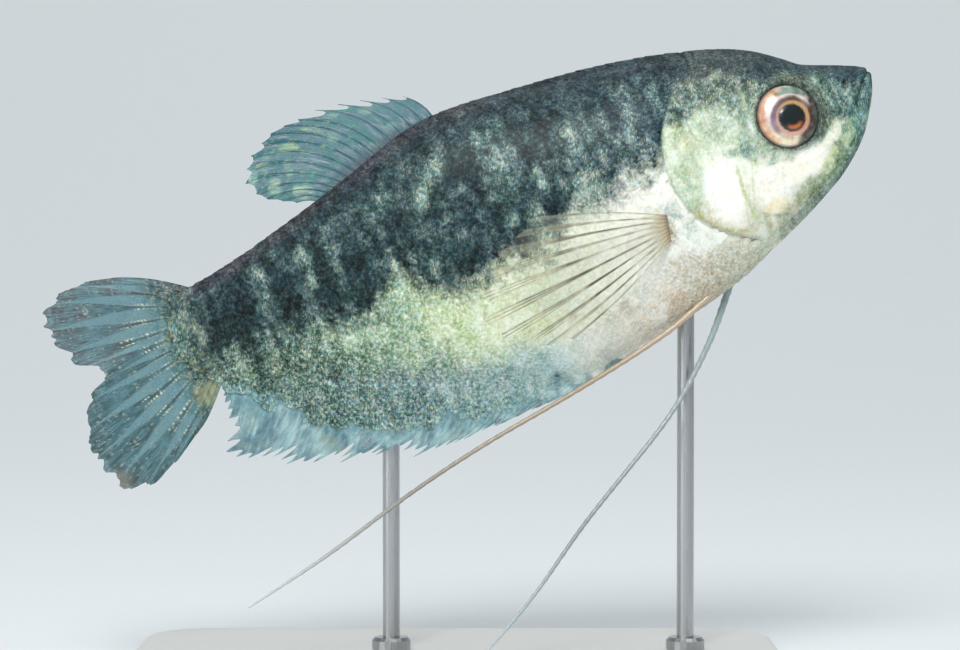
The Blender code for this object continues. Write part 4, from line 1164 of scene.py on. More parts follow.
@dataclass
class Skin:
    """The one skin of the head, trunk and tail stalk, with the mouth, folds and rims as relief."""

    hide: Hide
    sides: int = 264
    snout_rings: int = 20
    snout_end: float = 2.4
    fine_end: float = 33.0
    fine_step: float = 0.17
    coarse_step: float = 0.8
    coat_depth: float = 0.12  # how far the skin sinks behind the gill opening to make room for the scales
    tuck: float = 0.1  # how much the skin's end follows the curve of the tail fin's base
    tuck_height: float = 3.4  # h where it does so in full
    snout_tip: tuple = (-0.02, 0.72, 0.0)
    end_bulge: float = 0.3  # how far the middle of the skin's end stands behind its last ring

    def rings(self) -> Array:
        """Spaces the rings along s: closest at the blunt snout and fine over the head.

        Returns:
            s of each ring.
        """
        snout = self.snout_end * (np.arange(1, self.snout_rings + 1) / self.snout_rings) ** 2
        fine = np.arange(self.snout_end + self.fine_step, self.fine_end, self.fine_step)
        return np.concatenate([snout, fine, np.arange(self.fine_end, self.hide.length, self.coarse_step)])

    def build(self, material: bpy.types.Material) -> bpy.types.Object:
        """Lofts the skin, lifts its relief and paints it.

        Args:
            material: the skin's finish.

        Returns:
            The skin's object.
        """
        rings, half = self.rings(), self.sides // 2
        s = np.repeat(rings[:, None], self.sides, axis=1)
        above, under = self.hide.reach(s)
        place = np.arange(self.sides)
        v = above - (above + under) * np.where(place <= half, place, self.sides - place) / half
        right_flank = (place <= half)[None, :, None]
        grid = np.where(right_flank, *(self.hide.point(s, v, side) for side in (Side.RIGHT, Side.LEFT)))
        out = unit(np.cross(np.gradient(grid, rings, axis=0), np.roll(grid, -1, axis=1) - np.roll(grid, 1, axis=1)))
        flat = grid[..., 0], grid[..., 1]
        lift = Relief().height(*flat) - self.coat_depth * ease(behind_gill(*flat), -0.1, 0.5)
        lifted = grid + out * lift[..., None]
        lifted[..., 0] -= self.tuck * np.maximum(flat[0] - TRUNK_END, 0.0) * (flat[1] / self.tuck_height) ** 2
        right, left = (Markings(side).paint(*flat) for side in (Side.RIGHT, Side.LEFT))
        colour = np.where(right_flank, right[0], left[0])
        silver = np.where(right_flank[..., 0], right[1], left[1])
        end = lifted[-1].mean(axis=0) + np.array([self.end_bulge, 0.0, 0.0])
        points = np.vstack([lifted.reshape(-1, 3), self.snout_tip, end])
        shade = np.vstack([colour.reshape(-1, 3), colour[0].mean(axis=0), colour[-1].mean(axis=0)])
        shine = np.concatenate([silver.ravel(), [silver[0].mean(), silver[-1].mean()]])
        made = mesh_piece("skin", points, capped_rings(len(rings), self.sides), material, shade, Silver=shine)
        uv = np.stack([s / self.hide.length, np.broadcast_to(place / self.sides, s.shape)], axis=-1).reshape(-1, 2)
        point_uv(made, "OFBake", np.vstack([uv, [[0.0, 0.5], [1.0, 0.5]]]))
        return made


@dataclass
class ScaleCoat:
    """Rows of overlapping scales on one flank, as thin closed plates that follow the surface."""

    hide: Hide
    side: Side
    first_step: float = 1.5  # from one scale to the next in a row, behind the gill cover
    last_step: float = 1.2  # the same at the tail
    row: float = 1.02  # from one row to the next
    thickness: float = 0.04
    lift: float = 0.09  # how high the free edge stands
    sunk: float = 0.06  # how deep the root lies
    rim: int = 7  # points round the free edge
    rows: range = range(-34, 30)  # more rows than fit, counted up from the widest level
    width_share: float = 0.78  # a scale's width over its length
    crown: tuple = (0.006, 0.008)  # how much the middle of a scale swells, half way in and at its heart
    own_share: float = 0.8  # how much of its colour a scale takes point by point, the rest being that at its middle
    edge_light: float = 0.012  # how much lighter the rim of the free edge is
    crease: float = 35.0  # the angle past which a plate's edges are shaded sharp, in degrees
    map_spread: float = 0.0015  # how far a scale's points spread round its middle on the UV map

    @property
    def label(self) -> str:
        """The flank's name in the names of pieces."""
        return self.side.name.lower()

    def outline(self) -> Array:
        """Draws one scale's outline from -1 to 1: a round free edge behind and a narrow root ahead."""
        turn = np.radians(np.linspace(-84.0, 84.0, self.rim))
        return np.vstack([np.stack([np.cos(turn), np.sin(turn)], axis=1), [[-0.75, 0.72], [-1.0, 0.0], [-0.75, -0.72]]])

    def roots(self, start: float, end: float) -> tuple[Array, Array, Array]:
        """Lays out the scales in staggered rows.

        Args:
            start, end: the span of s to cover.

        Returns:
            s, v and h of the middle of each scale.
        """
        rng = np.random.default_rng(5 + self.side.value)
        found = []
        for k in self.rows:
            s = start + (0.5 if k % 2 else 0.0) * self.first_step
            while s < end:
                share = (s - start) / (end - start)
                found.append((s + rng.normal(0.0, 0.05), k * self.row + rng.normal(0.0, 0.04)))
                s += self.first_step + (self.last_step - self.first_step) * share
        s, v = np.array(found).T
        above, under = self.hide.reach(s)
        keep = (v < above) & (v > -under + 0.15)
        s, v = s[keep], v[keep]
        return s, v, self.hide.point(s, v, self.side)[:, 1]

    def plates(self, name: str, s: Array, v: Array, size: Array, material: bpy.types.Material) -> bpy.types.Object:
        """Makes the joined plates at given roots.

        Args:
            name: the piece's name.
            s, v: the middle of each scale.
            size: half the length of each, in mm.
            material: their finish.

        Returns:
            The joined object.
        """
        shape, count = self.outline(), len(s)
        n = len(shape)
        rng = np.random.default_rng(17)
        wide = size * self.width_share * rng.uniform(0.94, 1.06, count)
        long = size * rng.uniform(0.95, 1.05, count)
        local = np.vstack([shape, shape * 0.5, [[0.0, 0.0]]])
        ps, pv = s[:, None] + local[None, :, 0] * long[:, None], v[:, None] + local[None, :, 1] * wide[:, None]
        base, out = self.hide.point(ps, pv, self.side), self.hide.normal(ps, pv, self.side)
        tilt = rng.uniform(0.8, 1.25, count)[:, None]
        rise = -self.sunk + (self.lift + self.sunk) * tilt * (local[None, :, 0] + 1.0) / 2.0
        crown = np.concatenate([np.zeros(n), np.full(n, self.crown[0]), [self.crown[1]]])
        top = base + out * (rise + crown)[..., None]
        bottom = base + out * (rise - self.thickness)[..., None]
        points = np.concatenate([top, bottom[:, :n], bottom[:, -1:]], axis=1)
        each, k = points.shape[1], np.arange(n)
        nxt, low = (k + 1) % n, 2 * n + 1  # low is where the underside's own outline starts
        quads = np.concatenate([
            np.stack([k, nxt, nxt + n, k + n], axis=1),
            np.stack([k + low, nxt + low, nxt, k], axis=1),
        ])
        fans = np.concatenate([
            np.stack([k + n, nxt + n, np.full(n, 2 * n)], axis=1),
            np.stack([nxt + low, k + low, np.full(n, each - 1)], axis=1),
        ])
        offset = (np.arange(count) * each)[:, None, None]
        turned = slice(None, None, -1 if self.side is Side.RIGHT else 1)
        faces = []
        for kind in (quads, fans):
            faces += (kind + offset).reshape(-1, kind.shape[1])[:, turned].tolist()
        middle = self.hide.point(s, v, self.side)
        paint, silver = Markings(self.side).paint(middle[:, 0], middle[:, 1])
        own, own_silver = Markings(self.side).paint(points[..., 0], points[..., 1])
        tone = rng.uniform(0.93, 1.07, count)[:, None, None]
        free = np.concatenate([local[:, 0], shape[:, 0], [0.0]])
        radius = np.concatenate([np.ones(n), np.full(n, 0.5), [0.0], np.ones(n), [0.0]])
        pale = ease(radius * (free > 0.2), 0.55, 1.0)[None, :, None]
        colour = ((1 - self.own_share) * paint[:, None, :] + self.own_share * own) * tone
        # painted shade: each scale is up to a tenth darker towards its free edge
        colour = colour * (1.0 - 0.1 * ease(free, 0.1, 0.6))[None, :, None] + pale * self.edge_light
        shine = (1 - self.own_share) * silver[:, None] + self.own_share * own_silver
        colour = np.clip(colour, 0, 1).reshape(-1, 3)
        made = mesh_piece(name, points.reshape(-1, 3), faces, material, colour, self.crease, Silver=shine)
        spot = np.concatenate([local, shape, [[0.0, 0.0]]])[None] * self.map_spread
        root = np.stack([s / self.hide.length, self.hide.girth_share(s, v, self.side)], axis=1)[:, None]
        point_uv(made, "OFBake", np.clip(root + spot, 0.0, 1.0).reshape(-1, 2))
        return made

    def body(self, material: bpy.types.Material) -> bpy.types.Object:
        """Makes the scales behind the gill opening, out to the base of the tail fin.

        Args:
            material: their finish.

        Returns:
            The joined scales.
        """
        s, v, h = self.roots(19.0, 95.6)
        away = behind_gill(s, h)
        on_fin_base = (s > 46.0) & (s < 91.0) & (h < through(self.hide.form.belly, s) + 1.9)
        keep = (away > 0.75) & (s < 95.4 - 0.055 * h**2) & ~on_fin_base
        s, v, away = s[keep], v[keep], away[keep]
        size = read(((20.0, 1.12), (35.0, 1.28), (92.0, 1.05), (96.0, 0.8)), s) * read(((0.7, 0.75), (2.5, 1.0)), away)
        return self.plates("scales_" + self.label, s, v, size, material)

    def fin_base(self, material: bpy.types.Material) -> bpy.types.Object:
        """Makes the scales that carry on from the flank over the fleshy base of the anal fin.

        Args:
            material: their finish.

        Returns:
            The joined scales.
        """
        s, v, h = self.roots(42.0, 92.5)
        keep = self.hide.above(s, h) > 0.4
        size = read(((42.0, 1.2), (92.5, 0.95)), s[keep])
        return self.plates("fin_base_scales_" + self.label, s[keep], v[keep], size, material)

    def head(self, material: bpy.types.Material) -> bpy.types.Object:
        """Makes the small scales of the nape and the gill cover.

        Args:
            material: their finish.

        Returns:
            The joined scales.
        """
        small = ScaleCoat(
            self.hide, self.side, first_step=0.92, last_step=0.92, row=0.62, thickness=0.025, lift=0.03, sunk=0.04
        )
        s, v, h = small.roots(12.0, 30.0)
        nape = (h > 4.8 + 0.25 * np.maximum(19.0 - s, 0.0)) & (s > 14.5)
        cover = (s > 21.8) & (h > -7.0)
        keep = (behind_gill(s, h) < -0.85) & (nape | cover)
        size = np.full(keep.sum(), 0.72)
        return small.plates("head_scales_" + self.label, s[keep], v[keep], size, material)


@dataclass
class Eye:
    """One eye: a low wet dome with a dark rim, a silver and peach iris, a dark pupil ringed with orange and a painted
    reflection in it.
    """

    form: BodyForm
    side: Side
    radius: float = 4.0
    sunk: float = 0.35
    dome: float = 1.3
    depth: float = 2.0
    pupil: float = 1.76
    pupil_rise: float = 0.1  # how far the lens stands over the iris
    pupil_ahead: float = 0.12
    pupil_down: float = 0.46
    rings: int = 70
    sectors: int = 128
    slope_step: float = 0.8  # how far from the eye's middle the flank's slope is read, in mm

    def axes(self) -> tuple[Array, Array, Array, Array]:
        """Finds how the eye sits on the flank.

        Returns:
            Its middle, and its outward, backward and upward directions.
        """
        (s, h), step = EYE_AT, self.slope_step
        around = np.array([[s, h], [s + step, h], [s - step, h], [s, h + step], [s, h - step]])
        y, behind, ahead, above, below = self.form.flank(*around.T)
        out = unit(np.array([(ahead - behind) / (2 * step), (below - above) / (2 * step), self.side.value]))
        back = unit(np.array([1.0, 0.0, 0.0]) - out * out[0])
        up = np.array([0.0, 1.0, 0.0]) - out * out[1]
        return np.array([s, h, self.side.value * y]), out, back, unit(up - back * (up @ back))

    def build(self, material: bpy.types.Material) -> bpy.types.Object:
        """Turns the dome and paints the iris.

        Args:
            material: the eye's finish.

        Returns:
            The eye's object.
        """
        middle, out, back, up = self.axes()
        angle = np.linspace(math.pi / 2, -math.pi / 2, self.rings)[1:-1]
        turn = 2 * math.pi * np.arange(self.sectors) / self.sectors
        radius = self.radius * np.cos(angle)[:, None]
        a, b = radius * np.cos(turn)[None, :], radius * np.sin(turn)[None, :]
        dome = np.where(angle > 0, self.dome, self.depth) * np.sin(angle) - self.sunk
        pupil = np.hypot(a + self.pupil_ahead, b + self.pupil_down)
        lens = self.pupil_rise * ease(self.pupil + 0.15 - pupil, 0.0, 0.6) * (angle > 0)[:, None]
        rise = dome[:, None] + lens
        points = middle + a[..., None] * back + b[..., None] * up + rise[..., None] * out
        colour, silver = self.iris(a, b)
        poles = middle + np.array([self.dome - self.sunk + self.pupil_rise, -self.depth - self.sunk])[:, None] * out
        faces = capped_rings(self.rings - 2, self.sectors)
        if self.side is Side.RIGHT:
            faces = [face[::-1] for face in faces]
        flat = np.vstack([points.reshape(-1, 3), poles])
        shade = np.vstack([colour.reshape(-1, 3), colour[0, :1], colour[-1, :1]])
        shine = np.concatenate([silver.ravel(), [silver[0, 0], silver[-1, 0]]])
        return mesh_piece("eyeball_" + self.side.name.lower(), flat, faces, material, shade, Silver=shine)

    def iris(self, a: Array, b: Array) -> tuple[Array, Array]:
        """Paints the eye.

        Args:
            a, b: points of its face, a back and b up from its middle, in mm.

        Returns:
            Their colour and their silver share.
        """
        grain = Grain(61)
        pa, pb = a + self.pupil_ahead, b + self.pupil_down
        away, turn = np.hypot(a, b), np.arctan2(pb, pa)
        wave = 0.12 * grain.layered(3 * turn + 9, away)
        pupil = np.hypot(pa, pb) + 0.3 * wave
        left, rise = a * math.cos(TILT) + b * math.sin(TILT), b * math.cos(TILT) - a * math.sin(TILT)

        def towards(degrees: float) -> Array:
            """Is 1 on the side of the iris at an angle from the back, and -1 across from it."""
            return np.cos(turn - math.radians(degrees))

        # a painted highlight: a pale patch on one side of the iris
        gloss = ease(left, 1.7, 2.4) * ease(3.3 - away, 0.0, 0.4) * ease(1.6 - np.abs(rise - 0.3), 0.0, 0.9)
        colour = over(
            "#d2bfb4",
            ("#5f7a6c", 0.9 * ease(rise - 0.12 * np.abs(left), 1.9, 2.6)),
            ("#efe2c0", 0.85 * ease(-rise, 1.6, 2.8)),
            ("#d6a383", 0.8 * ease(away, 3.0, 3.45) * ease(left, 0.4, 2.2)),
            ("#e6d6d0", 0.75 * gloss),
            ("#38352f", 0.95 * ease(-left - 0.2 * rise, 1.3, 2.5)),
            ("#a9827a", 0.6 * ease(0.7 - np.hypot(left - 1.6, rise + 1.9), 0.0, 0.6)),
            ("#b3936c", 0.5 * ease(0.6 - np.hypot(left + 0.2, rise + 2.7), 0.0, 0.5)),
            ("#e2cfc8", 0.8 * ease(0.16 - np.abs(pupil - 3.05), 0.0, 0.14) * ease(towards(108), 0.45, 0.85)),
        )
        threads = 1.0 - 0.8 * grain.layered(turn * 9.0 + 40, away * 1.2) - 0.9 * grain.layered(a / 0.7, b / 0.5)
        colour = np.clip(colour, 0.0, 1.0) ** np.clip(threads, 0.8, 1.6)[..., None]
        ring = np.clip(0.66 + 0.45 * towards(75) + 4.0 * wave, 0.0, 1.0) * ease(2.95 + 2.0 * wave - pupil, 0.0, 0.35)
        # painted reflection: an orange crescent low in the pupil, the iris mirrored in the lens
        painted_lens_reflection = ease(0.42 - np.abs(pupil - 1.2), 0.0, 0.4) * ease(towards(272), 0.45, 1.0)
        rim = ease(away, 3.66, 3.9)
        colour = over(
            colour,
            (over("#4a2e28", ("#6d5a72", 0.3 + 0.75 * towards(-5))), 0.95 * ring),
            (
                over("#cf9a84", ("#bd9766", 0.5 + 0.7 * towards(115))),
                0.9 * ease(0.32 - 0.1 * towards(20) - np.abs(pupil - 2.02), 0.0, 0.2),
            ),
            ("#182022", ease(self.pupil + 0.08 - pupil, 0.0, 0.16)),
            # the next two are a painted reflection of the iris in the lens: a red-brown arc and an orange crescent low
            # in the pupil
            ("#5a2417", 0.8 * ease(0.2 - np.abs(pupil - 1.55), 0.0, 0.15) * ease(towards(245), 0.3, 0.9)),
            ("#c8763e", 0.85 * painted_lens_reflection),
            ("#333f42", (0.72 - 0.25 * np.cos(turn)) * rim),
        )
        return colour, 0.3 * (1 - ease(3.0 - pupil, 0.0, 0.3)) * (1 - rim)


@dataclass
class Sheet:
    """A fin's middle sheet, with a value for each of its points."""

    points: Array
    t: Array  # share of the way along the rays
    ray: Array  # the nearest ray's number
    run: Array  # how far along its ray, in mm
    aside: Array  # how far beside its ray, in mm
    line: Array  # how much of a ray's twig covers it
    band: Array  # how much of a ray with all its twigs covers it

    @property
    def flat(self) -> tuple[Array, Array]:
        """The points in the side view, as s and h."""
        return self.points[..., 0], self.points[..., 1]


@dataclass
class Fin:
    """A fin: one thin closed sheet that swells along every ray and its twigs."""

    name: str
    margin: tuple
    rays: int
    bow: float  # how far the rays curve, as a share of their length; 1 and more bows the fin's two halves apart
    seed: int
    crowd: tuple = ()  # ray numbers with their shares, where the rays aren't evenly spread
    spines: int = 0
    branches: float = 0.4  # share of a ray's length where it forks
    spread: float = 0.36  # how far the twigs spread, as a share of the space between rays
    twigs: int = 2  # twigs on each side of a ray
    line_mm: float = 0.09
    ragged: float = 0.03
    fray: float = 0.05
    notch: float = 0.05
    spine_notch: float = 0.26
    dip: float = 0.9  # how narrow the notches between soft rays are
    fray_rate: float = 2.3
    lean: float = 0.0
    per_ray: int = 20
    steps: int = 70
    membrane: float = 0.08
    crest: float = 0.2
    margin_points: int = 400

    def roots(self, share: Array) -> Array:
        """Where the rays leave the body, as s, h and y."""
        raise NotImplementedError

    def paint(self, sheet: Sheet) -> tuple[Array, Array]:
        """Colours the sheet, and says how much of the light it stops."""
        raise NotImplementedError

    def sway(self, share: Array, t: Array) -> Array:
        """How far the fin leans out of its plane at a share across and t along the rays."""
        return 0.35 * np.sin(share * 9.0) * t**2

    def ends(self, share: Array) -> Array:
        """Finds where the rays end in the side view.

        Args:
            share: the rays' shares across the fin.

        Returns:
            Points as (s, h).
        """
        tip = smooth_line(self.margin, self.margin_points)
        at = np.clip(share + self.lean * np.sin(math.pi * share), 0.0, 1.0)
        return np.stack([np.interp(at, np.linspace(0, 1, self.margin_points), axis) for axis in tip.T], axis=-1)

    def reach(self, place: Array, rng: np.random.Generator) -> Array:
        """Works out the ragged margin.

        Args:
            place: places across the fin, counted in rays.
            rng: where the lengths and notches are drawn from.

        Returns:
            How much of its length each place keeps.
        """
        left = np.minimum(place.astype(int), self.rays - 2)
        spiny = left < self.spines
        lengths = 1.0 - self.ragged * rng.random(self.rays)
        tufts = 2.0 * self.ragged * Grain(self.seed).layered(place / 2.6, place * 0.0 + 5.0)
        depth = np.where(spiny, self.spine_notch, self.notch) * rng.uniform(0.7, 1.3, self.rays)[left]
        dip = np.maximum(np.sin(math.pi * (place - left)), 0.0) ** np.where(spiny, 0.42, self.dip)
        tufts = tufts + self.fray * Grain(self.seed + 1).layered(place * self.fray_rate, place * 0.0 + 2.0)
        return np.interp(place, np.arange(self.rays), lengths) + np.where(spiny, 0.0, tufts) - depth * dip

    def sheet(self) -> Sheet:
        """Lays out the fin's middle sheet: curved rays from root to margin, with the membrane between them.

        Returns:
            The sheet.
        """
        columns = (self.rays - 1) * self.per_ray + 1
        place = np.linspace(0.0, self.rays - 1.0, columns)
        nearest = np.round(place)[:, None]
        share = read(self.crowd or ((0, 0.0), (self.rays - 1, 1.0)), place)
        reach = self.reach(place, np.random.default_rng(self.seed))
        root, tip = self.roots(share), self.ends(share)
        line = tip - root[:, :2]
        across = np.stack([-line[:, 1], line[:, 0]], axis=1)
        bow = self.bow * np.ones(columns) if self.bow < 1 else (self.bow - 1) * (1 - 2 * share)
        control = root[:, :2] + line / 2 + across * 2 * bow[:, None]
        t = np.linspace(0.0, 1.0, self.steps + 1) * reach[:, None]
        u = t[..., None]
        flat = root[:, None, :2] * (1 - u) ** 2 + control[:, None] * 2 * u * (1 - u) + tip[:, None] * u**2
        y = self.sway(share[:, None], t) + root[:, None, 2]
        points = np.concatenate([flat, y[..., None]], axis=2)
        spacing = np.linalg.norm(np.gradient(points, axis=0), axis=-1) * self.per_ray
        run = np.pad(np.cumsum(np.linalg.norm(np.diff(points, axis=1), axis=-1), axis=1), ((0, 0), (1, 0)))
        aside = np.abs(place[:, None] - nearest) * spacing
        fan = np.maximum(self.spread * ease(t, self.branches, 1.0) * spacing * (nearest >= self.spines), 1e-3)
        twig = np.clip(np.round(aside / fan * self.twigs), 0, self.twigs)
        covered = bell(aside - fan * twig / self.twigs, self.line_mm)
        band = ease(fan + 3.0 * self.line_mm - aside, -0.1, 0.3)
        return Sheet(points, t, np.broadcast_to(nearest, t.shape), run, aside, covered, band)

    def thickness(self, sheet: Sheet) -> Array:
        """How thick the fin is, in mm."""
        return self.membrane + self.crest * (1 - 0.62 * sheet.t) * sheet.line * (1 - 0.5 * ease(sheet.t, 0.9, 1.0))

    def build(self, material: bpy.types.Material) -> bpy.types.Object:
        """Closes the sheet to its thickness and paints both faces.

        Args:
            material: the fin's finish.

        Returns:
            The fin's object.
        """
        sheet = self.sheet()
        points = sheet.points
        out = unit(np.cross(np.gradient(points, axis=0), np.gradient(points, axis=1)))
        half = self.thickness(sheet)[..., None] / 2
        colour, cover = self.paint(sheet)
        both = np.vstack([(points + out * half).reshape(-1, 3), (points - out * half).reshape(-1, 3)])
        rows, cols = points.shape[:2]
        n, grid = rows * cols, np.arange(rows * cols).reshape(rows, cols)
        a = grid[:-1, :-1].ravel()
        front = np.stack([a, a + cols, a + cols + 1, a + 1], axis=1)
        loop = np.concatenate([grid[:, 0], grid[-1, 1:], grid[-2::-1, -1], grid[0, -2:0:-1]])
        after = np.roll(loop, -1)
        faces = np.vstack([front, front[:, ::-1] + n, np.stack([loop + n, after + n, after, loop], axis=1)])
        two = np.tile(np.clip(colour, 0, 1).reshape(-1, 3), (2, 1))
        return mesh_piece(self.name, both, faces, material, two, Cover=np.tile(np.clip(cover, 0, 1).ravel(), 2))


@dataclass
class DorsalFin(Fin):
    """The short dorsal fin: slim dark spines with free tips ahead, soft forked rays and pale bars behind."""

    form: BodyForm = BodyForm()
    base: tuple = (53.9, 71.2)  # s of the first and the last ray
    sunk: float = 0.9  # how deep the rays start under the back
    marks: tuple = tuple(Blotch(*row) for row in (
        (78.4, 16.8, 0.8, 1.7, 20, 0.85, "#a9cfc4"), (76.2, 14.3, 0.9, 1.3, 20, 0.85, "#b4d2b4"),
        (76.4, 17.6, 0.6, 1.3, 20, 0.7, "#a6c9a4"), (72.9, 12.4, 1.4, 0.9, 20, 0.9, "#b9d8b8"),
        (73.6, 15.8, 0.6, 1.2, 20, 0.6, "#a3c6a6"), (72.8, 18.4, 1.2, 0.7, 10, 0.7, "#b4cf9c"),
        (69.2, 19.4, 1.4, 0.5, 30, 0.75, "#c2d49c"), (66.8, 17.8, 0.7, 0.9, 0, 0.7, "#a9cfa8"),
        (65.6, 15.4, 0.9, 0.5, 0, 0.4, "#b3c9c0"), (62.9, 14.9, 0.9, 0.5, 0, 0.4, "#b9cfc8"),
        (59.6, 16.3, 0.8, 0.5, 0, 0.4, "#b9cfc8"), (66.2, 20.2, 1.2, 0.4, 10, 0.6, "#9cc4b0"),
        (62.0, 19.2, 1.2, 0.4, 25, 0.6, "#9fb9a8"), (69.5, 15.0, 0.8, 1.3, 20, 0.5, "#4f7d86"),
    ))

    def roots(self, share: Array) -> Array:
        """The rays leave the ridge of the back."""
        s = self.base[0] + (self.base[1] - self.base[0]) * share
        return np.stack([s, through(self.form.back, s) - self.sunk, 0.0 * s], axis=1)

    def paint(self, sheet: Sheet) -> tuple[Array, Array]:
        """Paints teal membrane, dark rays, pale bars and yellow-green flecks along the rays.

        Args:
            sheet: the fin's sheet.

        Returns:
            The colour of each point, and how much of the light it stops.
        """
        s, h = sheet.flat
        grain = Grain(81)
        streak = Grain(82).layered(sheet.ray * 5.7 + sheet.aside / 0.3, sheet.run / 1.5)
        wander = 0.5 * grain.layered(s / 0.9, h / 0.9)
        broken = np.clip(0.6 + 2.6 * streak, 0.0, 1.0)
        flecks = ease(grain.layered(sheet.run / 0.3, sheet.ray * 9.0 + sheet.aside / 0.2), 0.08, 0.25)
        flecks = flecks * sheet.band * (sheet.ray > 4) * ease(sheet.t, 0.25, 0.4)
        colour = over(
            "#27697a",
            ("#5f9489", 0.25 + 1.8 * streak),
            *((mark.colour, 0.85 * mark.mask(s + 2.0 * wander, h + wander) * broken) for mark in self.marks),
            ("#6a6670", 0.7 * ease(0.24 - sheet.t, 0.0, 0.2)),
            ("#d5dba8", 0.65 * flecks),
            ("#2b4a56", (0.6 + 0.35 * (sheet.ray < 5)) * sheet.line),
        )
        colour = colour * (1.0 + 0.3 * grain.layered(s / 0.5, h / 0.5))[..., None]
        return colour, 0.6 + 0.8 * streak + 0.3 * sheet.line + 0.2 * sheet.band + 0.4 * ease(0.2 - sheet.t, 0.0, 0.15)


FRINGE = (  # where the scaled base of the anal fin ends and its fringe begins, as s and h
    (38, -21.3), (50, -22.6), (62, -22.7), (67.3, -21.7), (71.2, -21.0), (75.6, -19.2), (79.2, -17.6), (82.5, -15.9),
    (85, -12.8), (89.5, -10.9), (91.5, -7.6), (96.5, -7.0),
)


class FinBase(Hide):
    """The fleshy base of the anal fin: a scaled surface that carries on from the flank below the belly."""

    ABOVE = 2.6  # how far above the belly line it starts
    THIN = 0.1  # half its thickness where the fringe begins
    BLEND = 12  # how sharply the wedge meets the flank

    def __init__(self, form: BodyForm) -> None:
        """Keeps the outline that it hangs from."""
        self.form, self.length = form, HIDE_END

    @staticmethod
    def above(s: Array, h: Array) -> Array:
        """How far points of the side view lie above the base's ragged lower border."""
        return h - read(FRINGE, s) - 8.0 * Grain(71).layered(s / 2.2, h / 3.0)

    def start(self, s: Array) -> Array:
        """The level that v is counted from."""
        return through(self.form.belly, s) + self.ABOVE

    def half(self, s: Array, h: Array) -> Array:
        """Reads half the thickness: a wedge that runs out of the flank above.

        Args:
            s, h: points of the side view.

        Returns:
            Half the thickness at each.
        """
        top, edge = self.start(s), read(FRINGE, s)
        share = np.clip((h - edge) / np.maximum(top - edge, 0.5), 0.0, 1.0)
        wedge = self.THIN + (self.form.flank(s, top) - self.THIN) * share**1.25
        wedge = wedge * (1.0 - ease(h - top, -1.8, 0.0))
        flank = self.form.flank(s, np.maximum(h, through(self.form.belly, s)))
        return (flank**self.BLEND + wedge**self.BLEND) ** (1 / self.BLEND)

    def reach(self, s: Array) -> tuple[Array, Array]:
        """Reads how far the base reaches up and down from its start."""
        return 0.0 * s + 1e-3, np.maximum(self.start(s) - read(FRINGE, s), 0.1)

    def point(self, s: Array, v: Array, side: Side) -> Array:
        """Finds points on the base, v being how far up from its start."""
        h = self.start(s) + v
        return np.stack([s, h, side.value * self.half(s, h)], axis=-1)


@dataclass
class AnalFin(Fin):
    """The long anal fin: a fleshy base scaled like the flank, and a ragged, see-through fringe."""

    form: BodyForm = BodyForm()
    base: tuple = (39.0, 90.6)  # s of the first and the last ray
    sunk: float = 0.9
    scale_room: float = 0.24  # how much thinner the base is than its scales' surface

    def roots(self, share: Array) -> Array:
        """The rays leave the keel of the belly."""
        s = self.base[0] + (self.base[1] - self.base[0]) * share
        return np.stack([s, through(self.form.belly, s) + self.sunk, 0.0 * s], axis=1)

    def flesh(self, s: Array, h: Array) -> Array:
        """How much of the fleshy base a point has, from 1 at the belly to 0 past the fringe's edge."""
        return ease(FinBase.above(s, h) + 1.6 * Grain(72).layered(s / 0.5 + h * 0.6, h / 1.2), -1.1, 0.6)

    def paint(self, sheet: Sheet) -> tuple[Array, Array]:
        """Paints the flank's colours on the base and pale teal threads on the fringe.

        Args:
            sheet: the fin's sheet.

        Returns:
            The colour of each point, and how much of the light it stops.
        """
        s, h = sheet.flat
        flesh = self.flesh(s, h)
        thread = Grain(77).layered((s + 0.8 * h) / 0.35, h / 2.0)
        colour = over(
            "#457481",
            ("#a2c3c5", 0.5 + 1.6 * Grain(75).layered(s / 1.5, h / 1.5) + 1.4 * thread),
            ("#4a707c", 0.4 * sheet.line),
            ("#9aa98c", 0.35 * ease(Grain(76).layered(s / 1.3, h / 1.3), 0.12, 0.3)),
            (Markings(Side.RIGHT).paint(s, h)[0], flesh),
        )
        return colour, 0.72 + 0.9 * thread + 0.2 * sheet.line + flesh

    def thickness(self, sheet: Sheet) -> Array:
        """Reads the thickness: the fringe is thin, and the base fills out to just under its scales.

        Args:
            sheet: the fin's sheet.

        Returns:
            The thickness of each point, in mm.
        """
        thin = super().thickness(sheet)
        fill = np.maximum(2.0 * FinBase(self.form).half(*sheet.flat) - self.scale_room, thin)
        return thin + (fill - thin) * self.flesh(*sheet.flat)


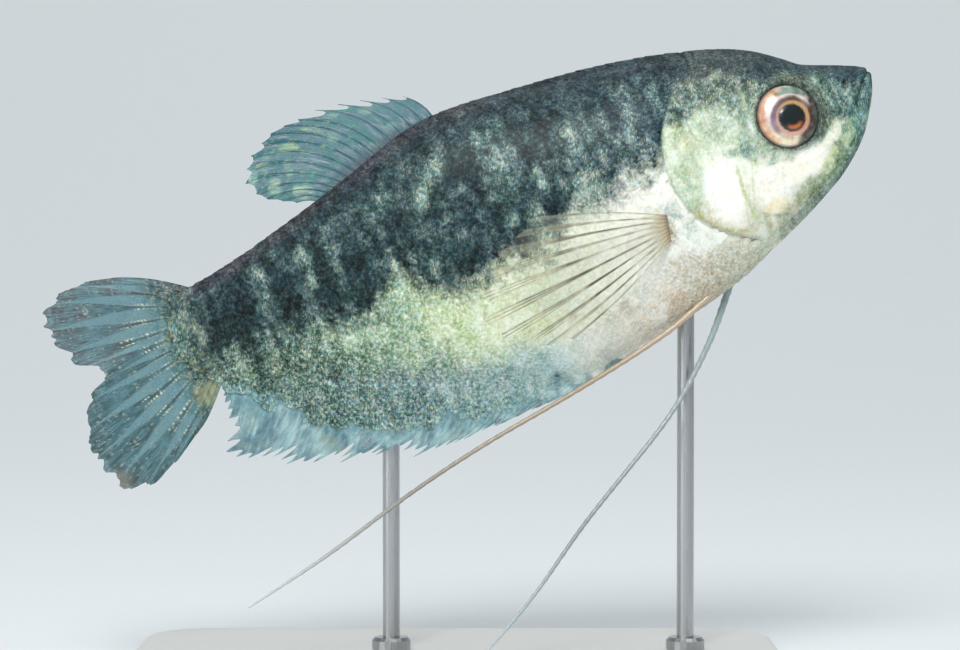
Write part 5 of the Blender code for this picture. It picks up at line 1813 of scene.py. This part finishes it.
@dataclass
class CaudalFin(Fin):
    """The two-lobed tail fin: bands of fine rays with clear gaps, and double rows of bright beads."""

    beads: tuple = (  # ray number, where its rows start and end along it in mm, and their strength
        (3, 4.5, 8.0, 0.7), (4, 4.0, 10.5, 0.8), (5, 3.6, 11.0, 0.85), (6, 4.0, 8.5, 1.0), (7, 5.0, 8.0, 0.6),
        (8, 3.0, 9.5, 1.0), (9, 2.6, 11.5, 1.0), (10, 3.4, 11.0, 1.0), (11, 5.0, 11.5, 0.9), (12, 6.0, 12.5, 0.9),
        (13, 4.0, 9.5, 0.5),
    )
    bead_pitch: float = 0.5
    root_top: float = 5.9  # h of the first ray's root
    root_height: float = 11.5
    sunk: float = 0.9
    tip_mark: tuple = (108.4, -14.0)  # the worn brown tip of the lower lobe, as s and h

    def roots(self, share: Array) -> Array:
        """The rays leave the end of the tail stalk."""
        s = TRUNK_END - self.sunk + 0.0 * share
        return np.stack([s, self.root_top - self.root_height * share, 0.0 * share], axis=1)

    def sway(self, share: Array, t: Array) -> Array:
        """The lobes bend a little apart."""
        return 0.9 * np.cos(2 * math.pi * share) * t**2

    def bead_rows(self, sheet: Sheet, jitter: Array, cloud: Array) -> list[tuple]:
        """Paints the rows of beads.

        Args:
            sheet: the fin's sheet.
            jitter: noise that moves the beads off their lines.
            cloud: noise that makes them brighter and fainter.

        Returns:
            A layer of paint for each ray that has beads.
        """
        beside_ray = bell(np.abs(sheet.aside) - 0.17 - 0.02 * sheet.run - 0.1 * jitter, 0.12)
        layers = []
        for number, start, end, strength in self.beads:
            here = (sheet.ray == number) * ease(sheet.run, start - 0.8, start) * ease(end - sheet.run, -0.8, 0.2)
            pulse = np.cos(2 * math.pi * sheet.run / self.bead_pitch + number + 7.0 * jitter)
            layers.append(("#f0f6d8", strength * here * beside_ray * ease(pulse, 0.0, 0.8) * (0.9 + 3.0 * cloud)))
        return layers

    def paint(self, sheet: Sheet) -> tuple[Array, Array]:
        """Paints the scaled base, clear membrane, grey-brown ray bands and beads in double rows.

        Args:
            sheet: the fin's sheet.

        Returns:
            The colour of each point, and how much of the light it stops.
        """
        s, h = sheet.flat
        grain = Grain(91)
        cloud = grain.layered(s / 1.4, h / 1.4)
        place = sheet.ray * 7.3 + sheet.aside / 0.22
        streak = Grain(93).layered(place, sheet.run / 1.3)
        warm = ease(h + 2.0 * cloud, -0.5, 4.0)
        width = np.clip(0.95 + 2.4 * Grain(95).layered(sheet.ray * 3.7, sheet.run / 3.0) + streak, 0.0, 1.0)
        thick = np.clip(0.75 + cloud + 1.6 * streak, 0, 1) * (0.25 + 0.75 * sheet.band * width)
        jitter = grain.layered(sheet.run / 0.9 + 3, sheet.ray * 5.0)
        fleck = ease(Grain(94).layered(sheet.run / 0.25, place), 0.14, 0.3) * ease(sheet.run, 2.0, 4.0) * thick
        scaled = ease(97.0 - s + 3.0 * cloud - 0.12 * np.abs(h - 1.0), -1.4, 1.8)
        colour = over(
            "#437e8b",
            ("#6a9ba0", 0.5 + 1.2 * cloud + streak),
            (over("#3d565a", ("#555557", 0.8 * warm)), thick),
            ("#2b4046", (0.4 + streak) * sheet.line),
            *self.bead_rows(sheet, jitter, cloud),
            ("#c9d8cc", 0.5 * fleck),
            ("#9a8a74", 0.4 * ease(2.6 - np.hypot(s - self.tip_mark[0], h - self.tip_mark[1]), 0.0, 2.0)),
            (Markings(Side.RIGHT).paint(s, h)[0], scaled),
        )
        return colour, 0.58 + 0.38 * thick + 0.15 * sheet.line + 0.6 * scaled - 0.14 * ease(sheet.t, 0.8, 1.0)

    def thickness(self, sheet: Sheet) -> Array:
        """The base is as thick as the end of the stalk."""
        return super().thickness(sheet) + 0.4 * ease(97.5 - sheet.points[..., 0], 0.0, 3.5)


@dataclass
class PectoralFin(Fin):
    """A pectoral fin held out from the flank, nearly clear between its dark paired rays."""

    form: BodyForm = BodyForm()
    side: Side = Side.RIGHT
    swing: float = 17.0  # how far it stands out from the flank, in degrees
    turn: float = 2.2  # how far from its root it has swung out, in mm
    sunk: float = 0.9
    cup: float = 0.0022
    root_start: tuple = (31.0, -6.7)  # s and h of the first ray's root
    root_line: tuple = (0.6, -3.2)  # from there to the last ray's root

    def roots(self, share: Array) -> Array:
        """The rays leave a short slanting line behind the gill cover."""
        s, h = (start + step * share for start, step in zip(self.root_start, self.root_line))
        return np.stack([s, h, self.side.value * (self.form.flank(s, h) - self.sunk)], axis=1)

    def sway(self, share: Array, t: Array) -> Array:
        """Swings the fin out from the flank and cups it a little.

        Args:
            share: the rays' shares across the fin.
            t: shares along the rays.

        Returns:
            How far each point lies off the flank.
        """
        root = self.roots(share[:, 0])[:, :2]
        back = t * np.linalg.norm(self.ends(share[:, 0]) - root, axis=1)[:, None]
        bend = self.sunk + self.turn * (1 - np.exp(-back / self.turn * 1.6)) * 0.55
        cup = self.cup * back**2 * (2 * share - 1) ** 2
        return self.side.value * (bend + math.tan(math.radians(self.swing)) * back + cup)

    def paint(self, sheet: Sheet) -> tuple[Array, Array]:
        """Paints a clear cream membrane, tan ray bands with dark twigs and a brown root.

        Args:
            sheet: the fin's sheet.

        Returns:
            The colour of each point, and how much of the light it stops.
        """
        outer = ease(sheet.t, 0.25, 0.65)
        pale = np.clip(0.7 + 2.0 * Grain(97).layered(sheet.run / 0.8, sheet.ray * 3.0 + sheet.aside), 0.0, 1.0)
        smudge = np.clip(0.85 + 1.6 * Grain(98).layered(sheet.run / 3.0, sheet.ray * 3.0), 0.5, 1.2) * sheet.line
        root = ease(3.2 - sheet.run, 0.0, 2.6)
        colour = over(
            "#eeecd6",
            ("#a3ab94", 0.6 * outer),
            ("#d5d0ae", pale * sheet.band),
            ("#4a4638", 0.95 * smudge * ease(sheet.run, 1.0, 5.0)),
            ("#b39a7c", 0.6 * root),
            ("#8a6a54", 0.4 * ease(1.2 - sheet.run, 0.0, 0.8)),
        )
        fade = 1.0 - 0.75 * ease(sheet.t, 0.62, 0.98)
        membrane = (0.04 + 0.06 * outer + 0.2 * pale * sheet.band) * fade
        return colour, membrane + 0.46 * smudge * (0.65 + 0.35 * fade) + 0.5 * root


class TubeTree:
    """A node tree that turns a piece's edges into tubes, as thick as its Radius attribute says in mm."""

    def __init__(self) -> None:
        """Builds the tree with its named inputs."""
        self.tree = tree = bpy.data.node_groups.new("tube_along_edges", "GeometryNodeTree")
        face = tree.interface
        face.new_socket("Geometry", in_out="INPUT", socket_type="NodeSocketGeometry")
        self.width, self.sides, self.finish = (
            face.new_socket(name, in_out="INPUT", socket_type="NodeSocket" + kind).identifier
            for name, kind in (("Width", "Float"), ("Sides", "Int"), ("Finish", "Material"))
        )
        face.new_socket("Geometry", in_out="OUTPUT", socket_type="NodeSocketGeometry")
        given = node(tree, "NodeGroupInput").outputs
        curve = node(tree, "GeometryNodeMeshToCurve", {"Mesh": given["Geometry"]})
        radius = node(tree, "GeometryNodeInputNamedAttribute", {"Name": "Radius"}, data_type="FLOAT")
        sized = node(tree, "GeometryNodeSetCurveRadius", {"Curve": curve, "Radius": radius})
        ring = node(tree, "GeometryNodeCurvePrimitiveCircle", {"Resolution": given["Sides"], "Radius": given["Width"]})
        swept = {"Curve": sized, "Profile Curve": ring, "Fill Caps": True, "Scale": radius}
        tube = node(tree, "GeometryNodeCurveToMesh", swept)
        smooth = node(tree, "GeometryNodeSetShadeSmooth", {"Geometry": tube})
        real = node(tree, "GeometryNodeRealizeInstances", {"Geometry": smooth})
        dressed = node(tree, "GeometryNodeSetMaterial", {"Geometry": real, "Material": given["Finish"]})
        node(tree, "NodeGroupOutput", {"Geometry": dressed})

    def build(
        self, name: str, lines: list[Array], radii: list[Array], colours: list[Array], material: bpy.types.Material,
        sides: int = 10,
    ) -> bpy.types.Object:
        """Makes tubes along lines and turns the result into a plain mesh.

        Args:
            name: the piece's name.
            lines: each tube's points as (s, h, y) in mm.
            radii: each tube's radius at its points, in mm.
            colours: each tube's linear colour at its points.
            material: the tubes' finish.
            sides: how many sides a tube has.

        Returns:
            The piece.
        """
        drawn = mesh_piece(
            name + "_lines", np.vstack(lines), [], material, np.vstack(colours), Radius=np.concatenate(radii)
        )
        number = np.concatenate([np.full(len(line), k) for k, line in enumerate(lines)])
        first = np.flatnonzero(number[1:] == number[:-1])
        drawn.data.edges.add(len(first))
        drawn.data.edges.foreach_set("vertices", np.stack([first, first + 1], axis=1).astype(np.int32).ravel())
        modifier = drawn.modifiers.new("tubes", "NODES")
        modifier.node_group = self.tree
        modifier[self.width], modifier[self.sides], modifier[self.finish] = MM, sides, material
        bpy.context.view_layer.update()
        mesh = bpy.data.meshes.new_from_object(drawn.evaluated_get(bpy.context.evaluated_depsgraph_get()))
        mesh.name = name
        bpy.data.objects.remove(drawn)
        return show(name, mesh)


@dataclass
class Feelers:
    """The two long first rays of the pelvic fins, with the short rays beside each root."""

    right: tuple = (  # s, h, y and radius along the right feeler
        (24.9, -16.6, -1.6, 0.5), (25.8, -17.7, -2.4, 0.5), (28.3, -18.6, -3.0, 0.45), (31.0, -19.5, -3.2, 0.4),
        (35.0, -20.7, -3.4, 0.36), (40.0, -21.8, -3.9, 0.33), (45.7, -22.9, -4.4, 0.31), (51.7, -23.9, -4.9, 0.3),
        (60.4, -25.3, -5.6, 0.28), (68.4, -26.4, -6.1, 0.27), (75.3, -28.5, -6.5, 0.26), (87.6, -32.1, -7.1, 0.25),
        (93.7, -33.6, -7.3, 0.2), (97.8, -34.2, -7.4, 0.12),
    )
    left: tuple = (
        (24.9, -16.6, 1.6, 0.5), (25.8, -18.3, 1.7, 0.48), (27.2, -19.5, 1.6, 0.46), (29.4, -22.2, 1.3, 0.42),
        (31.1, -24.5, 1.0, 0.37), (33.7, -26.9, 0.6, 0.34), (39.3, -31.0, -0.6, 0.31), (44.8, -34.6, -1.9, 0.29),
        (51.4, -37.5, -3.4, 0.28), (56.0, -40.6, -4.2, 0.26), (62.6, -45.3, -5.3, 0.25), (68.0, -48.6, -6.1, 0.2),
        (71.5, -50.1, -6.5, 0.12),
    )
    right_tones: tuple = ("#b9a68c", "#a8957c", "#8f8a80", "#c3cfd0")  # from root to tip
    left_tones: tuple = ("#8fa6a4", "#9aa3a8", "#8f959c", "#b4c6cc")
    ray_tone: str = "#b7bcae"
    ray_reaches: tuple = (6.4, 4.6, 3.2)  # lengths of the short rays beside a feeler's root
    ray_points: int = 16
    joints: int = 150  # points along each, close enough for the segments of a soft ray to show
    smoothing: int = 45  # how many of them are averaged to soften the curve
    swell: float = 0.09  # how much thicker a segment is in its middle

    def path(self, knots: tuple) -> Array:
        """Smooths a feeler's line.

        Args:
            knots: s, h, y and radius along it.

        Returns:
            The same at each joint.
        """
        pad = self.smoothing // 2
        padded = np.pad(smooth_line(knots, self.joints), ((pad, pad), (0, 0)), mode="reflect", reflect_type="odd")
        window = np.ones(self.smoothing) / self.smoothing
        return np.stack([np.convolve(column, window, "valid") for column in padded.T], axis=1)

    def short_ray(self, root: Array, reach: float, side: Side) -> Array:
        """Draws a short ray as a shallow arc.

        Args:
            root: where it starts.
            reach: its length.
            side: its flank.

        Returns:
            Its points.
        """
        share = np.linspace(0, 1, self.ray_points)
        line = root + share[:, None] * np.array([reach * 0.93, -reach * 0.28, side.value * 0.4])
        line[:, 1] += 0.05 * reach * np.sin(math.pi * share)
        return line

    def build(self, side: Side, tubes: TubeTree, material: bpy.types.Material) -> bpy.types.Object:
        """Makes one feeler, swelling slightly at every segment.

        Args:
            side: its flank.
            tubes: what turns lines into tubes.
            material: its finish.

        Returns:
            The feeler with its short rays.
        """
        knots, tones = (self.right, self.right_tones) if side is Side.RIGHT else (self.left, self.left_tones)
        path, share = self.path(knots), np.linspace(0.0, 1.0, self.joints)
        stops = np.array([linear(code) for code in tones])
        lines = [path[:, :3]]
        radii = [path[:, 3] * (1.0 + self.swell * np.sin(np.arange(self.joints) * 1.9))]
        colours = [np.stack([np.interp(share, np.linspace(0, 1, len(tones)), tone) for tone in stops.T], axis=1)]
        for k, reach in enumerate(self.ray_reaches):
            root = path[2, :3] + np.array([0.35 * k, 0.1, side.value * 0.25 * (k + 1)])
            lines.append(self.short_ray(root, reach, side))
            radii.append(np.linspace(0.24, 0.07, self.ray_points))
            colours.append(np.tile(linear(self.ray_tone), (self.ray_points, 1)))
        return tubes.build("feeler_" + side.name.lower(), lines, radii, colours, material)


class Stand:
    """The display stand, whose solids stay and get their finishes."""

    def dress(self) -> None:
        """Gives the base its lacquer and the rods their steel."""
        lacquer = Lacquer("satin_lacquer_on_board", 0.38, coat=0.25, coat_roughness=0.25).material()
        steel = DrawnSteel("drawn_stainless_steel", 0.3, metallic=1.0).material()
        for name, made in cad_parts.items():
            if name.startswith("stand_"):
                made.data.materials.clear()
                made.data.materials.append(lacquer if name == "stand_base" else steel)
                LOG.info("%s dressed", name)


@dataclass
class Studio:
    """The camera at the photo's angle and framing, a pale floor that curves up behind, and soft light."""

    aim: tuple = (2.97, 0.0, 47.34)  # what the middle of the frame shows, in mm
    distance: float = 409.6
    lens: float = 120.0
    elevation: float = 2.0
    floor_depth: float = 3.0  # metres, as are the sizes below
    floor_width: float = 8.0
    sweep_start: float = 0.4
    sweep_radius: float = 2.6
    backdrop_top: float = 5.0
    sky: str = "#eef2f4"
    sky_strength: float = 0.3
    lamps: tuple = (  # name, place and size in metres, watts, and what it points at
        ("key", (-0.1, -0.7, 0.6), 0.3, 6.4, (0.0, 0.0, 0.05)),
        ("fill", (-0.75, -0.5, 0.15), 0.5, 1.2, (0.0, 0.0, 0.05)),
        ("top", (0.25, -0.1, 1.0), 0.8, 1.5, (0.0, 0.0, 0.05)),
        ("backdrop", (0.0, 0.5, 2.4), 1.4, 32.0, (0.0, 2.6, 0.9)),
    )

    def camera(self) -> None:
        """Places the camera."""
        data = bpy.data.cameras.new("camera")
        data.lens, data.sensor_width = self.lens, 36.0
        data.clip_start, data.clip_end = 0.01, 20.0
        camera = show("camera", data)
        rise = math.radians(self.elevation)
        away = Vector((0.0, -math.cos(rise), math.sin(rise)))
        camera.location = Vector(self.aim) * MM + away * self.distance * MM
        camera.rotation_euler = (math.radians(90.0) - rise, 0.0, 0.0)
        bpy.context.scene.camera = camera

    def floor(self) -> None:
        """Makes the paper floor and the sweep behind it."""
        radius, depth = self.sweep_radius, self.floor_depth
        turn = np.linspace(0.0, math.pi / 2, 40)
        curve = [(self.sweep_start + math.sin(a) * radius, radius - math.cos(a) * radius) for a in turn]
        profile = [(-depth, 0.0), *curve, (depth, self.backdrop_top)]
        n = len(profile)
        mesh = bpy.data.meshes.new("paper_sweep")
        points = [(x * self.floor_width / 2, y, z) for x in (-1, 1) for y, z in profile]
        mesh.from_pydata(points, [], [(k, k + n, k + n + 1, k + 1) for k in range(n - 1)])
        mesh.shade_smooth()
        mesh.materials.append(Paper("matt_studio_paper", 0.9).material())
        show("paper_sweep", mesh)

    def lights(self) -> None:
        """Sets a soft key high on the camera's left, a wide fill, a top light, a lit backdrop and an even sky."""
        for name, place, size, power, towards in self.lamps:
            data = bpy.data.lights.new(name, "AREA")
            data.size, data.energy = size, power
            lamp = show(name, data)
            lamp.location = place
            lamp.rotation_euler = (Vector(towards) - Vector(place)).to_track_quat("-Z", "Y").to_euler()
        world = bpy.data.worlds.new("even_sky")
        world.use_nodes = True
        plug(world.node_tree.nodes["Background"], {"Color": (*linear(self.sky), 1.0), "Strength": self.sky_strength})
        bpy.context.scene.world = world
        bpy.context.scene.view_settings.view_transform = "Standard"


def fins() -> list[tuple[Fin, str]]:
    """Lists the fins.

    Returns:
        Each fin, with the solid that it stands for.
    """
    dorsal = DorsalFin(
        "fin_dorsal",
        ((56.8, 19.3), (59.6, 20.2), (62.9, 21.0), (67.1, 21.6), (70.4, 21.5), (74.6, 20.9), (78.2, 18.7), (79.8, 15.8),
         (78.3, 13.4), (74.4, 11.4)),
        rays=16, bow=0.12, seed=3, crowd=((0, 0.0), (5, 0.43), (15, 1.0)), spines=5, spread=0.2, twigs=1, line_mm=0.1,
        per_ray=18, steps=60, crest=0.26,
    )
    anal = AnalFin(
        "fin_anal",
        ((42.4, -22.6), (49.0, -23.6), (58.0, -24.1), (66.0, -24.6), (71.8, -24.4), (77.0, -22.6), (82.0, -21.6),
         (86.4, -20.2), (90.0, -18.0), (93.4, -16.0), (93.9, -12.0), (92.0, -8.4)),
        rays=44, bow=-0.12, seed=5, spread=0.33, twigs=1, line_mm=0.08, ragged=0.16, notch=0.12, dip=1.6, fray=0.12,
        fray_rate=3.0, lean=0.05, per_ray=12, steps=44, crest=0.16, branches=0.2,
    )
    caudal = CaudalFin(
        "fin_caudal",
        ((100.0, 10.9), (104.5, 11.8), (108.6, 11.1), (110.4, 8.8), (110.3, 5.6), (108.6, 2.2), (105.0, -0.1),
         (108.7, -2.6), (110.2, -6.2), (110.1, -10.2), (109.0, -13.6), (106.2, -15.8), (102.0, -14.8), (97.6, -12.0)),
        rays=15, bow=1.05, seed=7, spread=0.46, twigs=3, line_mm=0.07, ragged=0.03, notch=0.04, dip=2.2, fray=0.09,
        fray_rate=3.6, per_ray=24, steps=90, crest=0.2, branches=0.2,
    )
    margin = ((47.6, -0.8), (52.2, -3.2), (55.6, -6.6), (57.2, -10.4), (55.8, -13.8), (52.4, -16.2), (48.2, -17.0))
    pectorals = [
        PectoralFin(
            "fin_pectoral_" + side.name.lower(), margin, rays=10, bow=1.03, seed=9 + side.value, spread=0.17, twigs=1,
            line_mm=0.11, notch=0.03, ragged=0.05, per_ray=20, steps=60, membrane=0.05, crest=0.12, branches=0.15,
            side=side, swing=swing,
        )
        for side, swing in ((Side.RIGHT, 17.0), (Side.LEFT, 21.0))
    ]
    return [
        (dorsal, "dorsal_fin"), (anal, "anal_fin"), (caudal, "caudal_fin"),
        *((fin, "pectoral_fin_" + fin.side.name.lower()) for fin in pectorals),
    ]


def main() -> None:
    """Builds the studio, the stand and the fish in order."""
    studio = Studio()
    studio.camera()
    studio.floor()
    studio.lights()
    Stand().dress()
    form = BodyForm()
    hide = Hide(form, HIDE_END)
    wet = {"coat": 0.07, "coat_roughness": 0.25, "ior": 1.22}
    skin = Skin(hide).build(WetHide("wet_skin_over_bone", 0.62, **wet).material())
    enter(skin, Slot.HEAD, "head", "lower_jaw", "gill_cover_right", "gill_cover_left", "torso", "tail_stalk")
    plate = WetHide("guanine_backed_scale", 0.62, bump_mm=0.012, **wet).material()
    for side in Side:
        coat = ScaleCoat(hide, side)
        enter(coat.body(plate), Slot.FLANK)
        enter(coat.head(plate), Slot.HEAD)
        enter(ScaleCoat(FinBase(form), side).fin_base(plate), Slot.FLANK)
    cornea = Eyeball("wet_cornea_over_iris", 0.3, coat=0.45, coat_roughness=0.03, ior=1.38).material()
    for side in Side:
        enter(Eye(form, side).build(cornea), Slot.EYE, "eye_" + side.name.lower())
    membrane = Painted("wet_fin_membrane", 0.45, coat=0.12, coat_roughness=0.15, ior=1.33, see_through=True).material()
    for fin, solid in fins():
        enter(fin.build(membrane), Slot.FIN, solid)
    thread = Painted("segmented_feeler_skin", 0.4, coat=0.5, coat_roughness=0.15).material()
    feelers, tubes = Feelers(), TubeTree()
    for side in Side:
        label = side.name.lower()
        enter(feelers.build(side, tubes, thread), Slot.FEELER, f"feeler_{label}_root", f"feeler_{label}_tip")


if __name__ == "__main__":
    logging.basicConfig(level=logging.INFO, format="%(message)s")
    main()
